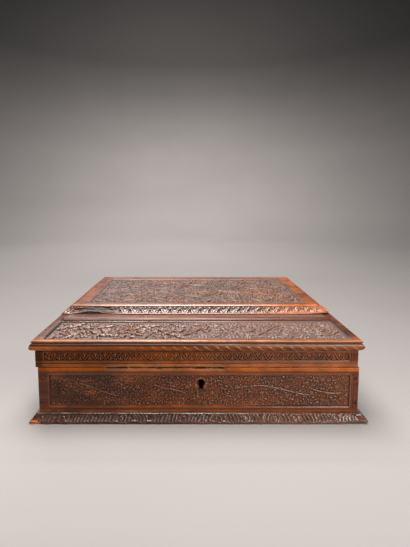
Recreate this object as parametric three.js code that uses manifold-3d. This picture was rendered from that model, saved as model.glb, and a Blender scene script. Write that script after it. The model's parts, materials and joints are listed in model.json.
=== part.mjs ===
import * as THREE from "three";
import { mergeVertices } from "three/addons/utils/BufferGeometryUtils.js";
import Module from "manifold-3d";

// A low wooden box with a hinged lid, and a hinged flap over a shallow tray inside the lid.
// Millimetres, +Z up, front towards -Y, +X to the right, origin under the middle of the box.

const wasm = await Module();
wasm.setup();

// Overall sizes
const overallWidth = 400; // across the tips of the base moulding
const overallDepth = 289; // tip of the front base moulding to the back of the lid's knuckles
const caseHeight = 64.8; // floor to the top edge of the case boards
const lidHeight = 34.2; // underside of the lid rails to the top of the fixed strips
const flapHeight = 10.3; // thickness of the flap

// Gaps
const glueLine = 0.2; // between pieces that are glued or nailed together
const lidSeam = 0.4; // between the case boards and the lid rails
const flapSeam = 0.3; // between the lid's top and the flap

// Case
const wall = 9; // case boards
const bottomBoardThickness = 8;
const baseMoulding = { projection: 8.7, height: 10, tipHeight: 3.2, topFillet: 0.8 };

// Lid
const rail = 9; // lid rails
const railProud = 0.3; // how far the lid rails stand out past the case boards
const lidShift = -2.1; // the lid sits this far to one side of the case, as its worn hinges let it
const topBoardThickness = 8; // front and rear strips
const lip = { projection: 3, height: 2.4 };
const ropeMoulding = { projection: 5.1, height: 10.2 };
const lidFloor = { thickness: 4, rise: 10.3 }; // rise is from the underside of the rails
const stripLap = 8; // how far the strips reach under the flap
const sillBead = { width: 11.3, height: 3.5, fromFrontRail: 58.8 };

// Flap
const flapSetback = 96.6; // front rail's face to the front edge of the flap's panel
const rearStripShowing = 10.4; // flap's rear edge to the back of the lid
const flapMoulding = { projection: 13, lowerFillet: 1.4, upperFillet: 1 };

// Hinges
const lidHinge = {
  width: 40,
  knuckleRadius: 2.5,
  leafThickness: 1.2,
  caseLeafLength: 24,
  lidLeafLength: 20,
  spread: 236, // between the middles of the two hinges
};
const flapHinge = {
  width: 30,
  knuckleRadius: 2.2,
  leafThickness: 1,
  lidLeafLength: 7.2,
  flapLeafLength: 7,
  spread: 210,
};
const hingePin = { radius: 1.1, bore: 0.1, headRadius: 1.8, headLength: 0.8 };
const hingeSeat = 0.3; // between a leaf and the wood that it is nailed to
const knuckleGap = 0.3; // between neighbouring knuckles along the pin

// Nails and pegs
const leafNail = { shank: 0.8, headRadius: 1.9, headHeight: 0.8, length: 7 };
const peg = { radius: 2, length: 17, inset: 13 };
const driveGap = 0.15; // round a shank or a peg

// Lock, placed from the keyhole's middle and from the top of the case
const keyhole = { offset: 3, headDrop: 19.3, headRadius: 4, slotWidth: 4.8, slotDrop: 28 };
const lockPlate = { width: 60, height: 40, thickness: 1.2, drop: 2 };
const lockCover = { width: 46, height: 34, thickness: 1, drop: 3 };
const bolt = {
  length: 25.5,
  height: 5,
  depth: 3.5,
  drop: 9.2, // top of the case to the middle of the bolt
  gap: 0.3, // round the bolt in its guides
  talonLength: 7.6,
  talonDepth: 4,
  talonWall: 2,
};
const guide = { length: 2.5, wall: 1.2 };
const staple = { wire: 2, thickness: 3, side: 8, gap: 0.6, plateWidth: 30, plateHeight: 9.3 };
const stapleSwing = 0.8; // room for the staple as it swings in and out of the lock
const spring = { thickness: 0.6, length: 12, gap: 0.3 };

// Worked-out places
const caseHalf = overallWidth / 2 - baseMoulding.projection;
const caseFront = -overallDepth / 2 + baseMoulding.projection;
const caseBack = overallDepth / 2 - 2 * lidHinge.knuckleRadius - hingeSeat;
const lidHalf = caseHalf + railProud;
const lidFront = caseFront - railProud;
const lidBack = caseBack;
const lidBottom = caseHeight + lidSeam;
const lidTop = lidBottom + lidHeight;
const stripBottom = lidTop - topBoardThickness;
const lipBottom = lidTop - lip.height;
const flapBottom = lidTop + flapSeam;
const flapTop = flapBottom + flapHeight;
const flapHalf = lidHalf + lip.projection - flapMoulding.projection - 0.6;
const flapFront = lidFront + flapSetback;
const flapBack = lidBack - rearStripShowing;
const frontStripRear = flapFront + stripLap;
const rearStripFront = flapBack - stripLap;
const lidAxis = { y: caseBack + hingeSeat + lidHinge.knuckleRadius, z: caseHeight + lidSeam / 2 };
const flapAxis = {
  y: flapBack + hingeSeat + flapHinge.knuckleRadius,
  z: lidTop + hingeSeat + flapHinge.knuckleRadius,
};
const boltZ = caseHeight - bolt.drop;
const plateFront = caseFront + wall + glueLine;
const plateBack = plateFront + lockPlate.thickness;
const stapleFront = plateBack + stapleSwing;
const boltY = stapleFront + staple.wire + staple.gap + bolt.depth / 2;
const stapleBack = boltY + bolt.depth / 2 + staple.gap + staple.wire;
const coverBack = stapleBack + stapleSwing + lockCover.thickness;
const boltHead = keyhole.offset + staple.side - staple.thickness / 2 - stapleSwing;

// Materials
function wood(color, roughness) {
  return new THREE.MeshStandardMaterial({ color, roughness, metalness: 0 });
}
const carvedWood = wood(0x5a2f1c, 0.5);
const wornWood = wood(0x7a4423, 0.48);
const innerWood = wood(0x6b4328, 0.7);
const iron = new THREE.MeshStandardMaterial({ color: 0x2b2725, roughness: 0.55, metalness: 0.9 });

// Solids and cuts
function toSolid(geometry) {
  const bare = geometry.clone();
  bare.deleteAttribute("normal");
  bare.deleteAttribute("uv");
  const merged = mergeVertices(bare, 1e-4);
  return new wasm.Manifold(
    new wasm.Mesh({
      numProp: 3,
      vertProperties: merged.attributes.position.array,
      triVerts: new Uint32Array(merged.index.array),
    }),
  );
}

function toGeometry(solid) {
  const mesh = solid.getMesh();
  const geometry = new THREE.BufferGeometry();
  geometry.setAttribute("position", new THREE.BufferAttribute(mesh.vertProperties, 3));
  geometry.setIndex(new THREE.BufferAttribute(mesh.triVerts, 1));
  geometry.computeVertexNormals();
  return geometry;
}

function joined(first, ...others) {
  return toGeometry(others.reduce((sum, g) => sum.add(toSolid(g)), toSolid(first)));
}

function cut(first, ...tools) {
  return toGeometry(tools.reduce((left, g) => left.subtract(toSolid(g)), toSolid(first)));
}

// A box from its lowest to its highest corner
function block(low, high) {
  const size = high.map((value, k) => value - low[k]);
  const middle = high.map((value, k) => (value + low[k]) / 2);
  return new THREE.BoxGeometry(...size).translate(...middle);
}

// An outline in (x, z), given depth along +Y from y
function slabAlongY(shape, y, thickness) {
  const geometry = new THREE.ExtrudeGeometry(shape, {
    depth: thickness,
    bevelEnabled: false,
    curveSegments: 8,
  });
  return geometry.rotateX(Math.PI / 2).translate(0, y + thickness, 0);
}

// An outline in (y, z), given length along +X from x
function slabAlongX(shape, x, length) {
  const geometry = new THREE.ExtrudeGeometry(shape, { depth: length, bevelEnabled: false });
  const turn = new THREE.Matrix4().makeBasis(
    new THREE.Vector3(0, 1, 0),
    new THREE.Vector3(0, 0, 1),
    new THREE.Vector3(1, 0, 0),
  );
  return geometry.applyMatrix4(turn).translate(x, 0, 0);
}

function rodAlongX(radius, x, length, y, z, sides = 24) {
  return new THREE.CylinderGeometry(radius, radius, length, sides)
    .rotateZ(Math.PI / 2)
    .translate(x + length / 2, y, z);
}

function rodAlongY(radius, x, y, z, length, sides = 12) {
  return new THREE.CylinderGeometry(radius, radius, length, sides).translate(x, y + length / 2, z);
}

function rectangle(left, low, right, high) {
  const shape = new THREE.Shape();
  shape.moveTo(left, low);
  shape.lineTo(right, low);
  shape.lineTo(right, high);
  shape.lineTo(left, high);
  shape.closePath();
  return shape;
}

// A moulding along a straight wall. The outline is in (distance out, height). Each end is square,
// or mitred by moving every point along by its own distance out.
function mouldingRun(outline, { outward, from, length, mitreFrom, mitreTo }) {
  const geometry = new THREE.ExtrudeGeometry(outline, {
    depth: 1,
    bevelEnabled: false,
    curveSegments: 8,
  });
  const points = geometry.attributes.position;
  for (let i = 0; i < points.count; i++) {
    const out = points.getX(i);
    const far = points.getZ(i) > 0.5;
    const start = glueLine - (mitreFrom ? out : 0);
    const end = length - glueLine + (mitreTo ? out : 0);
    points.setZ(i, far ? end : start);
  }
  const up = new THREE.Vector3(0, 0, 1);
  const along = new THREE.Vector3().crossVectors(outward, up);
  const place = new THREE.Matrix4().makeBasis(outward, up, along).setPosition(...from);
  geometry.applyMatrix4(place);
  geometry.computeVertexNormals();
  return geometry;
}

// Three runs of one moulding round the front and both sides of a box. It stands off the walls by
// a glue line and ends square at the back.
function threeSides(outline, { half, front, back, height, middle = 0 }) {
  const out = half + glueLine;
  const ahead = front - glueLine;
  const side = { length: back - ahead, mitreFrom: false, mitreTo: false };
  return {
    front: mouldingRun(outline, {
      outward: new THREE.Vector3(0, -1, 0),
      from: [middle + out, ahead, height],
      length: 2 * out,
      mitreFrom: true,
      mitreTo: true,
    }),
    left: mouldingRun(outline, {
      ...side,
      outward: new THREE.Vector3(-1, 0, 0),
      from: [middle - out, ahead, height],
      mitreFrom: true,
    }),
    right: mouldingRun(outline, {
      ...side,
      outward: new THREE.Vector3(1, 0, 0),
      from: [middle + out, back, height],
      mitreTo: true,
    }),
  };
}

// The case stands still. The lid turns about the pins of its hinges, the flap about its own pins
// on the lid, and the bolt slides along X.
const box = new THREE.Group();
const lid = new THREE.Group();
const flap = new THREE.Group();
const boltSlide = new THREE.Group();
box.add(lid, boltSlide);
lid.add(flap);
lid.position.set(lidShift, lidAxis.y, lidAxis.z);
flap.position.set(0, flapAxis.y - lidAxis.y, flapAxis.z - lidAxis.z);
boltSlide.position.set(boltHead, boltY, boltZ);
box.updateMatrixWorld(true);

// A piece is shaped in the frame of the whole box, then kept round its own middle and placed
// from the origin of the group that it moves with.
function addPiece(group, name, geometry, material) {
  geometry.computeBoundingBox();
  const middle = geometry.boundingBox.getCenter(new THREE.Vector3());
  geometry.translate(-middle.x, -middle.y, -middle.z);
  const mesh = new THREE.Mesh(geometry, material);
  mesh.name = name;
  mesh.position.copy(group.worldToLocal(middle));
  group.add(mesh);
}

// Nails and pegs. A fastener runs from its head into the wood along a direction.
function nailGeometry(nail) {
  const profile = [
    new THREE.Vector2(0, -nail.length),
    new THREE.Vector2(nail.shank, -nail.length + 2 * nail.shank),
    new THREE.Vector2(nail.shank, 0),
    new THREE.Vector2(nail.headRadius, 0),
    new THREE.Vector2(0.7 * nail.headRadius, nail.headHeight * 0.8),
    new THREE.Vector2(0, nail.headHeight),
  ];
  return new THREE.LatheGeometry(profile, 10);
}

function turnTo(direction) {
  const turn = new THREE.Quaternion();
  turn.setFromUnitVectors(new THREE.Vector3(0, 1, 0), direction.clone().negate());
  return new THREE.Matrix4().makeRotationFromQuaternion(turn);
}

function addNails(group, nails) {
  for (const { name, nail, point, direction } of nails) {
    const geometry = nailGeometry(nail).applyMatrix4(turnTo(direction)).translate(...point);
    addPiece(group, name, geometry, iron);
  }
}

// The hole for a nail, from well above its seat to just past its point
function nailHole(nail, point, direction) {
  const length = nail.length + 4;
  const radius = nail.shank + driveGap;
  return new THREE.CylinderGeometry(radius, radius, length, 12)
    .translate(0, length / 2 - nail.length - driveGap, 0)
    .applyMatrix4(turnTo(direction))
    .translate(...point);
}

// Places of the fasteners
const inwardFromFront = new THREE.Vector3(0, 1, 0);
const inwardFromBack = new THREE.Vector3(0, -1, 0);
const downward = new THREE.Vector3(0, 0, -1);
const sides = { left: -1, right: 1 };

const pegHeights = {
  lower: bottomBoardThickness + peg.inset,
  upper: caseHeight - peg.inset,
};

function pegPlaces() {
  const places = [];
  for (const [side, sign] of Object.entries(sides)) {
    for (const [level, z] of Object.entries(pegHeights)) {
      places.push({ name: `peg_${side}_${level}`, x: sign * (caseHalf - wall / 2), z });
    }
  }
  return places;
}

function pegHoles() {
  const radius = peg.radius + driveGap;
  return pegPlaces().map(({ x, z }) => rodAlongY(radius, x, caseFront - 1, z, peg.length + 1.3));
}

const lockNails = Object.entries(sides).map(([side, sign]) => ({
  name: `lock_nail_${side}`,
  nail: leafNail,
  direction: inwardFromBack,
  point: [
    keyhole.offset + sign * (lockPlate.width + lockCover.width) * 0.25,
    plateBack + glueLine,
    caseHeight - lockPlate.drop - lockPlate.height / 2,
  ],
}));

const stapleX = keyhole.offset + staple.side;
const stapleLeafFront = lidFront + rail + glueLine;
const stapleNails = Object.entries(sides).map(([side, sign]) => ({
  name: `staple_nail_${side}`,
  nail: leafNail,
  direction: inwardFromBack,
  point: [
    stapleX + sign * staple.plateWidth * 0.33,
    stapleLeafFront + lockPlate.thickness + glueLine,
    lidBottom + staple.plateHeight * 0.62,
  ],
}));

function hingeMiddles(hinge) {
  return Object.entries(sides).map(([side, sign]) => ({ side, x: (sign * hinge.spread) / 2 }));
}

// Two nails in each leaf of the lid's hinges, one in each leaf of the flap's. Those of the flap's
// leaves are offset along the pin, so that the heads pass each other when the flap is open.
const lidHingeNails = { case: [], lid: [] };
for (const { side, x } of hingeMiddles(lidHinge)) {
  for (const [place, sign] of Object.entries({ outer: 1, inner: -1 })) {
    const along = x + sign * Math.sign(x) * lidHinge.width * 0.3;
    const y = caseBack + hingeSeat + lidHinge.leafThickness + glueLine;
    const common = { nail: leafNail, direction: inwardFromBack };
    lidHingeNails.case.push({
      ...common,
      name: `lid_hinge_${side}_case_nail_${place}`,
      point: [along, y, lidAxis.z - lidHinge.caseLeafLength * 0.65],
    });
    lidHingeNails.lid.push({
      ...common,
      name: `lid_hinge_${side}_lid_nail_${place}`,
      point: [along, y, lidAxis.z + lidHinge.lidLeafLength * 0.65],
    });
  }
}
const flapHingeNails = { lid: [], flap: [] };
for (const { side, x } of hingeMiddles(flapHinge)) {
  const offset = flapHinge.width * 0.3;
  flapHingeNails.lid.push({
    name: `flap_hinge_${side}_lid_nail`,
    nail: leafNail,
    direction: downward,
    point: [
      x + offset,
      flapAxis.y + flapHinge.lidLeafLength * 0.68,
      lidTop + hingeSeat + flapHinge.leafThickness + glueLine,
    ],
  });
  flapHingeNails.flap.push({
    name: `flap_hinge_${side}_flap_nail`,
    nail: leafNail,
    direction: inwardFromBack,
    point: [
      x - offset,
      flapBack + hingeSeat + flapHinge.leafThickness + glueLine,
      flapAxis.z + flapHinge.flapLeafLength * 0.68,
    ],
  });
}

function holesFor(nails) {
  return nails.map(({ nail, point, direction }) => nailHole(nail, point, direction));
}

// Keyhole outline in (x, z): a round head over a narrower slot with a round foot
function keyholePath() {
  const headZ = caseHeight - keyhole.headDrop;
  const half = keyhole.slotWidth / 2;
  const footZ = caseHeight - keyhole.slotDrop + half;
  const corner = Math.asin(half / keyhole.headRadius);
  const path = new THREE.Path();
  path.absarc(keyhole.offset, headZ, keyhole.headRadius, -Math.PI / 2 + corner, 1.5 * Math.PI - corner);
  path.absarc(keyhole.offset, footZ, half, Math.PI, 2 * Math.PI);
  path.closePath();
  return path;
}

// Case
function frontBoard() {
  const shape = rectangle(-caseHalf, bottomBoardThickness + glueLine, caseHalf, caseHeight);
  shape.holes.push(keyholePath());
  const board = slabAlongY(shape, caseFront, wall);
  return cut(board, ...pegHoles(), ...holesFor(lockNails));
}

function backBoard() {
  const board = block(
    [-caseHalf, caseBack - wall, bottomBoardThickness + glueLine],
    [caseHalf, caseBack, caseHeight],
  );
  return cut(board, ...holesFor(lidHingeNails.case));
}

function sideBoard(sign) {
  const inner = sign * (caseHalf - wall);
  const outer = sign * caseHalf;
  const board = block(
    [Math.min(inner, outer), caseFront + wall + glueLine, bottomBoardThickness + glueLine],
    [Math.max(inner, outer), caseBack - wall - glueLine, caseHeight],
  );
  return cut(board, ...pegHoles());
}

// Ogee: a low vertical tip, a hollow rising inwards and a rounded shoulder under a small fillet
function baseMouldingOutline() {
  const { projection, height, tipHeight, topFillet } = baseMoulding;
  const waist = (projection + topFillet) / 2;
  const middle = (height + tipHeight) / 2;
  const shape = new THREE.Shape();
  shape.moveTo(0, 0);
  shape.lineTo(projection - glueLine, 0);
  shape.lineTo(projection - glueLine, tipHeight);
  shape.quadraticCurveTo(projection * 0.8, tipHeight + 0.3, waist, middle);
  shape.quadraticCurveTo(projection * 0.3, height - 0.3, topFillet, height);
  shape.lineTo(0, height);
  shape.closePath();
  return shape;
}

function addCase() {
  addPiece(
    box,
    "bottom_board",
    block([-caseHalf, caseFront, 0], [caseHalf, caseBack, bottomBoardThickness]),
    innerWood,
  );
  addPiece(box, "front_board", frontBoard(), carvedWood);
  addPiece(box, "back_board", backBoard(), wornWood);
  addPiece(box, "left_board", sideBoard(-1), carvedWood);
  addPiece(box, "right_board", sideBoard(1), carvedWood);
  const base = { half: caseHalf, front: caseFront, back: caseBack, height: 0 };
  const runs = threeSides(baseMouldingOutline(), base);
  for (const [place, geometry] of Object.entries(runs)) {
    addPiece(box, `base_moulding_${place}`, geometry, carvedWood);
  }
  for (const { name, x, z } of pegPlaces()) {
    addPiece(box, name, rodAlongY(peg.radius, x, caseFront, z, peg.length), innerWood);
  }
}

// Lock
function lockPlateGeometry() {
  const left = keyhole.offset - lockPlate.width / 2;
  const top = caseHeight - lockPlate.drop;
  const shape = rectangle(left, top - lockPlate.height, left + lockPlate.width, top);
  shape.holes.push(keyholePath());
  const plate = slabAlongY(shape, plateFront, lockPlate.thickness);
  const reach = bolt.height / 2 + bolt.gap + guide.wall;
  const guides = guidePlaces().map((x) =>
    block(
      [x, plateBack - lockPlate.thickness / 2, boltZ - reach],
      [x + guide.length, boltY + bolt.depth / 2 + bolt.gap + guide.wall, boltZ + reach],
    ),
  );
  const run = block(
    [left, boltY - bolt.depth / 2 - bolt.gap, boltZ - bolt.height / 2 - bolt.gap],
    [
      left + lockPlate.width,
      boltY + bolt.depth / 2 + bolt.gap,
      boltZ + bolt.height / 2 + bolt.gap,
    ],
  );
  return cut(joined(plate, ...guides), run, ...holesFor(lockNails));
}

// The left ends of the two guides that the bolt runs in
function guidePlaces() {
  const tail = boltHead - bolt.length;
  return [tail + 4, boltHead - guide.length - 1.2];
}

// The bolt in (x, z): a bar with two teeth below it, which the key pushes
function boltGeometry() {
  const tail = boltHead - bolt.length;
  const low = boltZ - bolt.height / 2;
  const high = boltZ + bolt.height / 2;
  const talon = tail + 4 + guide.length + 1;
  const shape = new THREE.Shape();
  shape.moveTo(tail, low);
  shape.lineTo(talon, low);
  shape.lineTo(talon, low - bolt.talonDepth);
  shape.lineTo(talon + bolt.talonWall, low - bolt.talonDepth);
  shape.lineTo(talon + bolt.talonWall, low);
  shape.lineTo(talon + bolt.talonLength - bolt.talonWall, low);
  shape.lineTo(talon + bolt.talonLength - bolt.talonWall, low - bolt.talonDepth);
  shape.lineTo(talon + bolt.talonLength, low - bolt.talonDepth);
  shape.lineTo(talon + bolt.talonLength, low);
  shape.lineTo(boltHead, low);
  shape.lineTo(boltHead, high);
  shape.lineTo(tail, high);
  shape.closePath();
  return slabAlongY(shape, boltY - bolt.depth / 2, bolt.depth);
}

function lockCoverGeometry() {
  const left = keyhole.offset - lockCover.width / 2;
  const top = caseHeight - lockCover.drop;
  const thin = lockCover.thickness;
  const front = plateBack + glueLine;
  const shell = block(
    [left, front, top - lockCover.height],
    [left + lockCover.width, coverBack, top],
  );
  const hollow = block(
    [left + thin, front - 1, top - lockCover.height + thin],
    [left + lockCover.width - thin, coverBack - thin, top - thin],
  );
  const slotHalf = staple.thickness / 2 + stapleSwing;
  const slot = block(
    [stapleX - slotHalf, front - 1, top - 2 * thin],
    [stapleX + slotHalf, coverBack - thin, top + thin],
  );
  return cut(shell, hollow, slot);
}

// A bowed leaf that presses on the bolt, in (x, z)
function lockSpringGeometry() {
  const [firstGuide, secondGuide] = guidePlaces();
  const middle = (firstGuide + guide.length + secondGuide) / 2;
  const half = spring.length / 2;
  const seat = boltZ + bolt.height / 2 + bolt.gap;
  const roof = caseHeight - lockCover.drop - lockCover.thickness - spring.gap;
  const rise = roof - spring.thickness - seat;
  const shape = new THREE.Shape();
  shape.moveTo(middle - half, seat);
  shape.quadraticCurveTo(middle, seat + 2 * rise, middle + half, seat);
  shape.lineTo(middle + half, seat + spring.thickness);
  shape.quadraticCurveTo(
    middle,
    seat + spring.thickness + 2 * rise,
    middle - half,
    seat + spring.thickness,
  );
  shape.closePath();
  return slabAlongY(shape, boltY - bolt.depth / 2, bolt.depth);
}

// A plate behind the lid's front rail, a foot bent backwards under it, and a square loop that
// hangs from the foot into the lock
function stapleGeometry() {
  const back = stapleLeafFront + lockPlate.thickness;
  const half = staple.plateWidth / 2;
  const underside = lidBottom + glueLine;
  const plate = block(
    [stapleX - half, stapleLeafFront, underside],
    [stapleX + half, back, underside + staple.plateHeight],
  );
  const foot = block(
    [stapleX - staple.thickness, stapleLeafFront, underside],
    [stapleX + staple.thickness, stapleBack, underside + lockPlate.thickness],
  );
  const loopLow = boltZ - bolt.height / 2 - staple.gap - staple.wire;
  const loop = block(
    [stapleX - staple.thickness / 2, stapleFront, loopLow],
    [stapleX + staple.thickness / 2, stapleBack, underside + lockPlate.thickness / 2],
  );
  const eye = block(
    [stapleX - staple.thickness, stapleFront + staple.wire, loopLow + staple.wire],
    [
      stapleX + staple.thickness,
      stapleBack - staple.wire,
      boltZ + bolt.height / 2 + staple.gap,
    ],
  );
  return cut(joined(plate, foot, loop), eye, ...holesFor(stapleNails));
}

function addLock() {
  addPiece(box, "lock_plate", lockPlateGeometry(), iron);
  addPiece(box, "lock_cover", lockCoverGeometry(), iron);
  addPiece(box, "lock_spring", lockSpringGeometry(), iron);
  addPiece(boltSlide, "lock_bolt", boltGeometry(), iron);
  addPiece(lid, "lid_staple", stapleGeometry(), iron);
  addNails(box, lockNails);
  addNails(lid, stapleNails);
}

// Hinges. A leaf lies in its own frame: the pin runs along X through the origin, the plate rises
// along +Z and lies against the wood at y = -knuckleRadius. The outer leaf has the two end
// knuckles and the inner leaf the middle one.
function hingeLeaf(hinge, length, outer) {
  const { width, knuckleRadius, leafThickness } = hinge;
  const third = width / 3;
  const plate = block(
    [-width / 2, -knuckleRadius, 0],
    [width / 2, -knuckleRadius + leafThickness, length],
  );
  const spans = outer
    ? [
        [-width / 2, third - knuckleGap / 2],
        [width / 2 - third + knuckleGap / 2, third - knuckleGap / 2],
      ]
    : [[-third / 2 + knuckleGap / 2, third - knuckleGap]];
  const clearSpans = outer
    ? [[-third / 2 - knuckleGap / 2, third + knuckleGap]]
    : [
        [-width / 2 - 1, third + 1 + knuckleGap / 2],
        [width / 2 - third - knuckleGap / 2, third + 1 + knuckleGap / 2],
      ];
  const knuckles = spans.map(([x, span]) => rodAlongX(knuckleRadius, x, span, 0, 0));
  const relief = knuckleRadius + knuckleGap;
  const notches = clearSpans.map(([x, span]) =>
    block([x, -knuckleRadius - 1, -1], [x + span, knuckleRadius, relief]),
  );
  const bore = rodAlongX(hingePin.radius + hingePin.bore, -width, 2 * width, 0, 0);
  const leaf = toSolid(plate);
  const cleared = notches.reduce((left, g) => left.subtract(toSolid(g)), leaf);
  const whole = knuckles.reduce((sum, g) => sum.add(toSolid(g)), cleared);
  return toGeometry(whole.subtract(toSolid(bore)));
}

function hingePinGeometry(hinge) {
  const half = hinge.width / 2 + knuckleGap;
  const { radius, headRadius, headLength } = hingePin;
  const profile = [
    new THREE.Vector2(0, -half - headLength),
    new THREE.Vector2(headRadius * 0.7, -half - headLength),
    new THREE.Vector2(headRadius, -half - headLength / 2),
    new THREE.Vector2(headRadius, -half),
    new THREE.Vector2(radius, -half),
    new THREE.Vector2(radius, half),
    new THREE.Vector2(headRadius, half),
    new THREE.Vector2(headRadius, half + headLength / 2),
    new THREE.Vector2(headRadius * 0.7, half + headLength),
    new THREE.Vector2(0, half + headLength),
  ];
  return new THREE.LatheGeometry(profile, 20).rotateZ(-Math.PI / 2);
}

// Turns of a leaf that lies behind the case, flat on the rear strip, or upright
const hangingLeaf = new THREE.Matrix4().makeRotationY(Math.PI);
const uprightLeaf = new THREE.Matrix4();
const lyingLeaf = new THREE.Matrix4().makeBasis(
  new THREE.Vector3(-1, 0, 0),
  new THREE.Vector3(0, 0, 1),
  new THREE.Vector3(0, 1, 0),
);

function addHinges(name, hinge, axis, fixed, moving) {
  for (const { side, x } of hingeMiddles(hinge)) {
    for (const leaf of [fixed, moving]) {
      const geometry = hingeLeaf(hinge, leaf.length, leaf === fixed)
        .applyMatrix4(leaf.turn)
        .translate(x, axis.y, axis.z);
      const drilled = cut(geometry, ...holesFor(leaf.nails));
      addPiece(leaf.group, `${name}_${side}_${leaf.on}_leaf`, drilled, iron);
    }
    const pin = hingePinGeometry(hinge).translate(x, axis.y, axis.z);
    addPiece(fixed.group, `${name}_${side}_pin`, pin, iron);
  }
  addNails(fixed.group, fixed.nails);
  addNails(moving.group, moving.nails);
}

// Lid
function lidRailAcross(front, back, top, nails) {
  const board = block(
    [lidShift - lidHalf, front, lidBottom],
    [lidShift + lidHalf, back, top],
  );
  return nails.length ? cut(board, ...holesFor(nails)) : board;
}

// A side rail in (y, z). It is lower under the front and rear strips, and carries the lip that
// continues theirs between them.
function lidSideRail(sign) {
  const front = lidFront + rail + glueLine;
  const back = lidBack - rail - glueLine;
  const shape = new THREE.Shape();
  shape.moveTo(front, lidBottom);
  shape.lineTo(back, lidBottom);
  shape.lineTo(back, stripBottom - glueLine);
  shape.lineTo(rearStripFront - glueLine, stripBottom - glueLine);
  shape.lineTo(rearStripFront - glueLine, lidTop);
  shape.lineTo(frontStripRear + glueLine, lidTop);
  shape.lineTo(frontStripRear + glueLine, stripBottom - glueLine);
  shape.lineTo(front, stripBottom - glueLine);
  shape.closePath();
  const inner = lidShift + sign * (lidHalf - rail);
  const outer = lidShift + sign * lidHalf;
  const board = slabAlongX(shape, Math.min(inner, outer), rail);
  const lipEnds = [outer - sign, lidShift + sign * (lidHalf + lip.projection)];
  const edge = block(
    [Math.min(...lipEnds), frontStripRear + glueLine, lipBottom],
    [Math.max(...lipEnds), rearStripFront - glueLine, lidTop],
  );
  return joined(board, edge);
}

// A strip of the lid's top: a board as wide as the rails, with a thin lip standing past them
function topStrip(front, back, lipFront) {
  const board = block(
    [lidShift - lidHalf, front, stripBottom],
    [lidShift + lidHalf, back, lidTop],
  );
  const half = lidHalf + lip.projection;
  const edge = block(
    [lidShift - half, front - lipFront, lipBottom],
    [lidShift + half, back, lidTop],
  );
  return joined(board, edge);
}

// Half-round in (distance out, height), seated under the lip
function ropeOutline() {
  const height = ropeMoulding.height - glueLine;
  const shape = new THREE.Shape();
  shape.moveTo(0, 0);
  shape.absellipse(
    0,
    height / 2,
    ropeMoulding.projection - glueLine,
    height / 2,
    -Math.PI / 2,
    Math.PI / 2,
  );
  shape.closePath();
  return shape;
}

// Half-round bead across the front strip, in (y, z)
function sillBeadGeometry() {
  const middle = lidFront + sillBead.fromFrontRail + sillBead.width / 2;
  const seat = lidTop + glueLine;
  const shape = new THREE.Shape();
  shape.absellipse(middle, seat, sillBead.width / 2, sillBead.height - glueLine, 0, Math.PI);
  shape.closePath();
  const half = lidHalf + lip.projection - sillBead.width;
  return slabAlongX(shape, lidShift - half, 2 * half);
}

function addLid() {
  const railTop = stripBottom - glueLine;
  addPiece(
    lid,
    "lid_front_rail",
    lidRailAcross(lidFront, lidFront + rail, railTop, stapleNails),
    carvedWood,
  );
  addPiece(
    lid,
    "lid_back_rail",
    lidRailAcross(lidBack - rail, lidBack, railTop, lidHingeNails.lid),
    wornWood,
  );
  addPiece(lid, "lid_left_rail", lidSideRail(-1), carvedWood);
  addPiece(lid, "lid_right_rail", lidSideRail(1), carvedWood);
  const inside = lidHalf - rail - glueLine;
  const floorLow = lidBottom + lidFloor.rise;
  addPiece(
    lid,
    "lid_floor",
    block(
      [lidShift - inside, lidFront + rail + glueLine, floorLow],
      [lidShift + inside, lidBack - rail - glueLine, floorLow + lidFloor.thickness],
    ),
    innerWood,
  );
  const front = topStrip(lidFront, frontStripRear, lip.projection);
  addPiece(lid, "front_strip", front, carvedWood);
  const rear = topStrip(rearStripFront, lidBack, 0);
  addPiece(lid, "rear_strip", cut(rear, ...holesFor(flapHingeNails.lid)), wornWood);
  addPiece(lid, "sill_bead", sillBeadGeometry(), wornWood);
  const runs = threeSides(ropeOutline(), {
    half: lidHalf,
    front: lidFront,
    back: lidBack,
    height: lipBottom - ropeMoulding.height,
    middle: lidShift,
  });
  for (const [place, geometry] of Object.entries(runs)) {
    addPiece(lid, `rope_moulding_${place}`, geometry, carvedWood);
  }
}

// Flap
function flapMouldingOutline() {
  const { projection, lowerFillet, upperFillet } = flapMoulding;
  const waist = projection / 2;
  const shape = new THREE.Shape();
  shape.moveTo(0, 0);
  shape.lineTo(projection, 0);
  shape.lineTo(projection, lowerFillet);
  shape.quadraticCurveTo(projection * 0.72, flapHeight * 0.2, waist, flapHeight * 0.5);
  shape.quadraticCurveTo(projection * 0.3, flapHeight * 0.85, upperFillet, flapHeight - 0.6);
  shape.lineTo(upperFillet, flapHeight);
  shape.lineTo(0, flapHeight);
  shape.closePath();
  return shape;
}

function addFlap() {
  const panel = block(
    [lidShift - flapHalf, flapFront, flapBottom],
    [lidShift + flapHalf, flapBack, flapTop],
  );
  addPiece(flap, "flap_panel", cut(panel, ...holesFor(flapHingeNails.flap)), carvedWood);
  const runs = threeSides(flapMouldingOutline(), {
    half: flapHalf,
    front: flapFront,
    back: flapBack,
    height: flapBottom,
    middle: lidShift,
  });
  addPiece(flap, "flap_ledge", runs.front, carvedWood);
  addPiece(flap, "flap_moulding_left", runs.left, wornWood);
  addPiece(flap, "flap_moulding_right", runs.right, wornWood);
}

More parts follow.
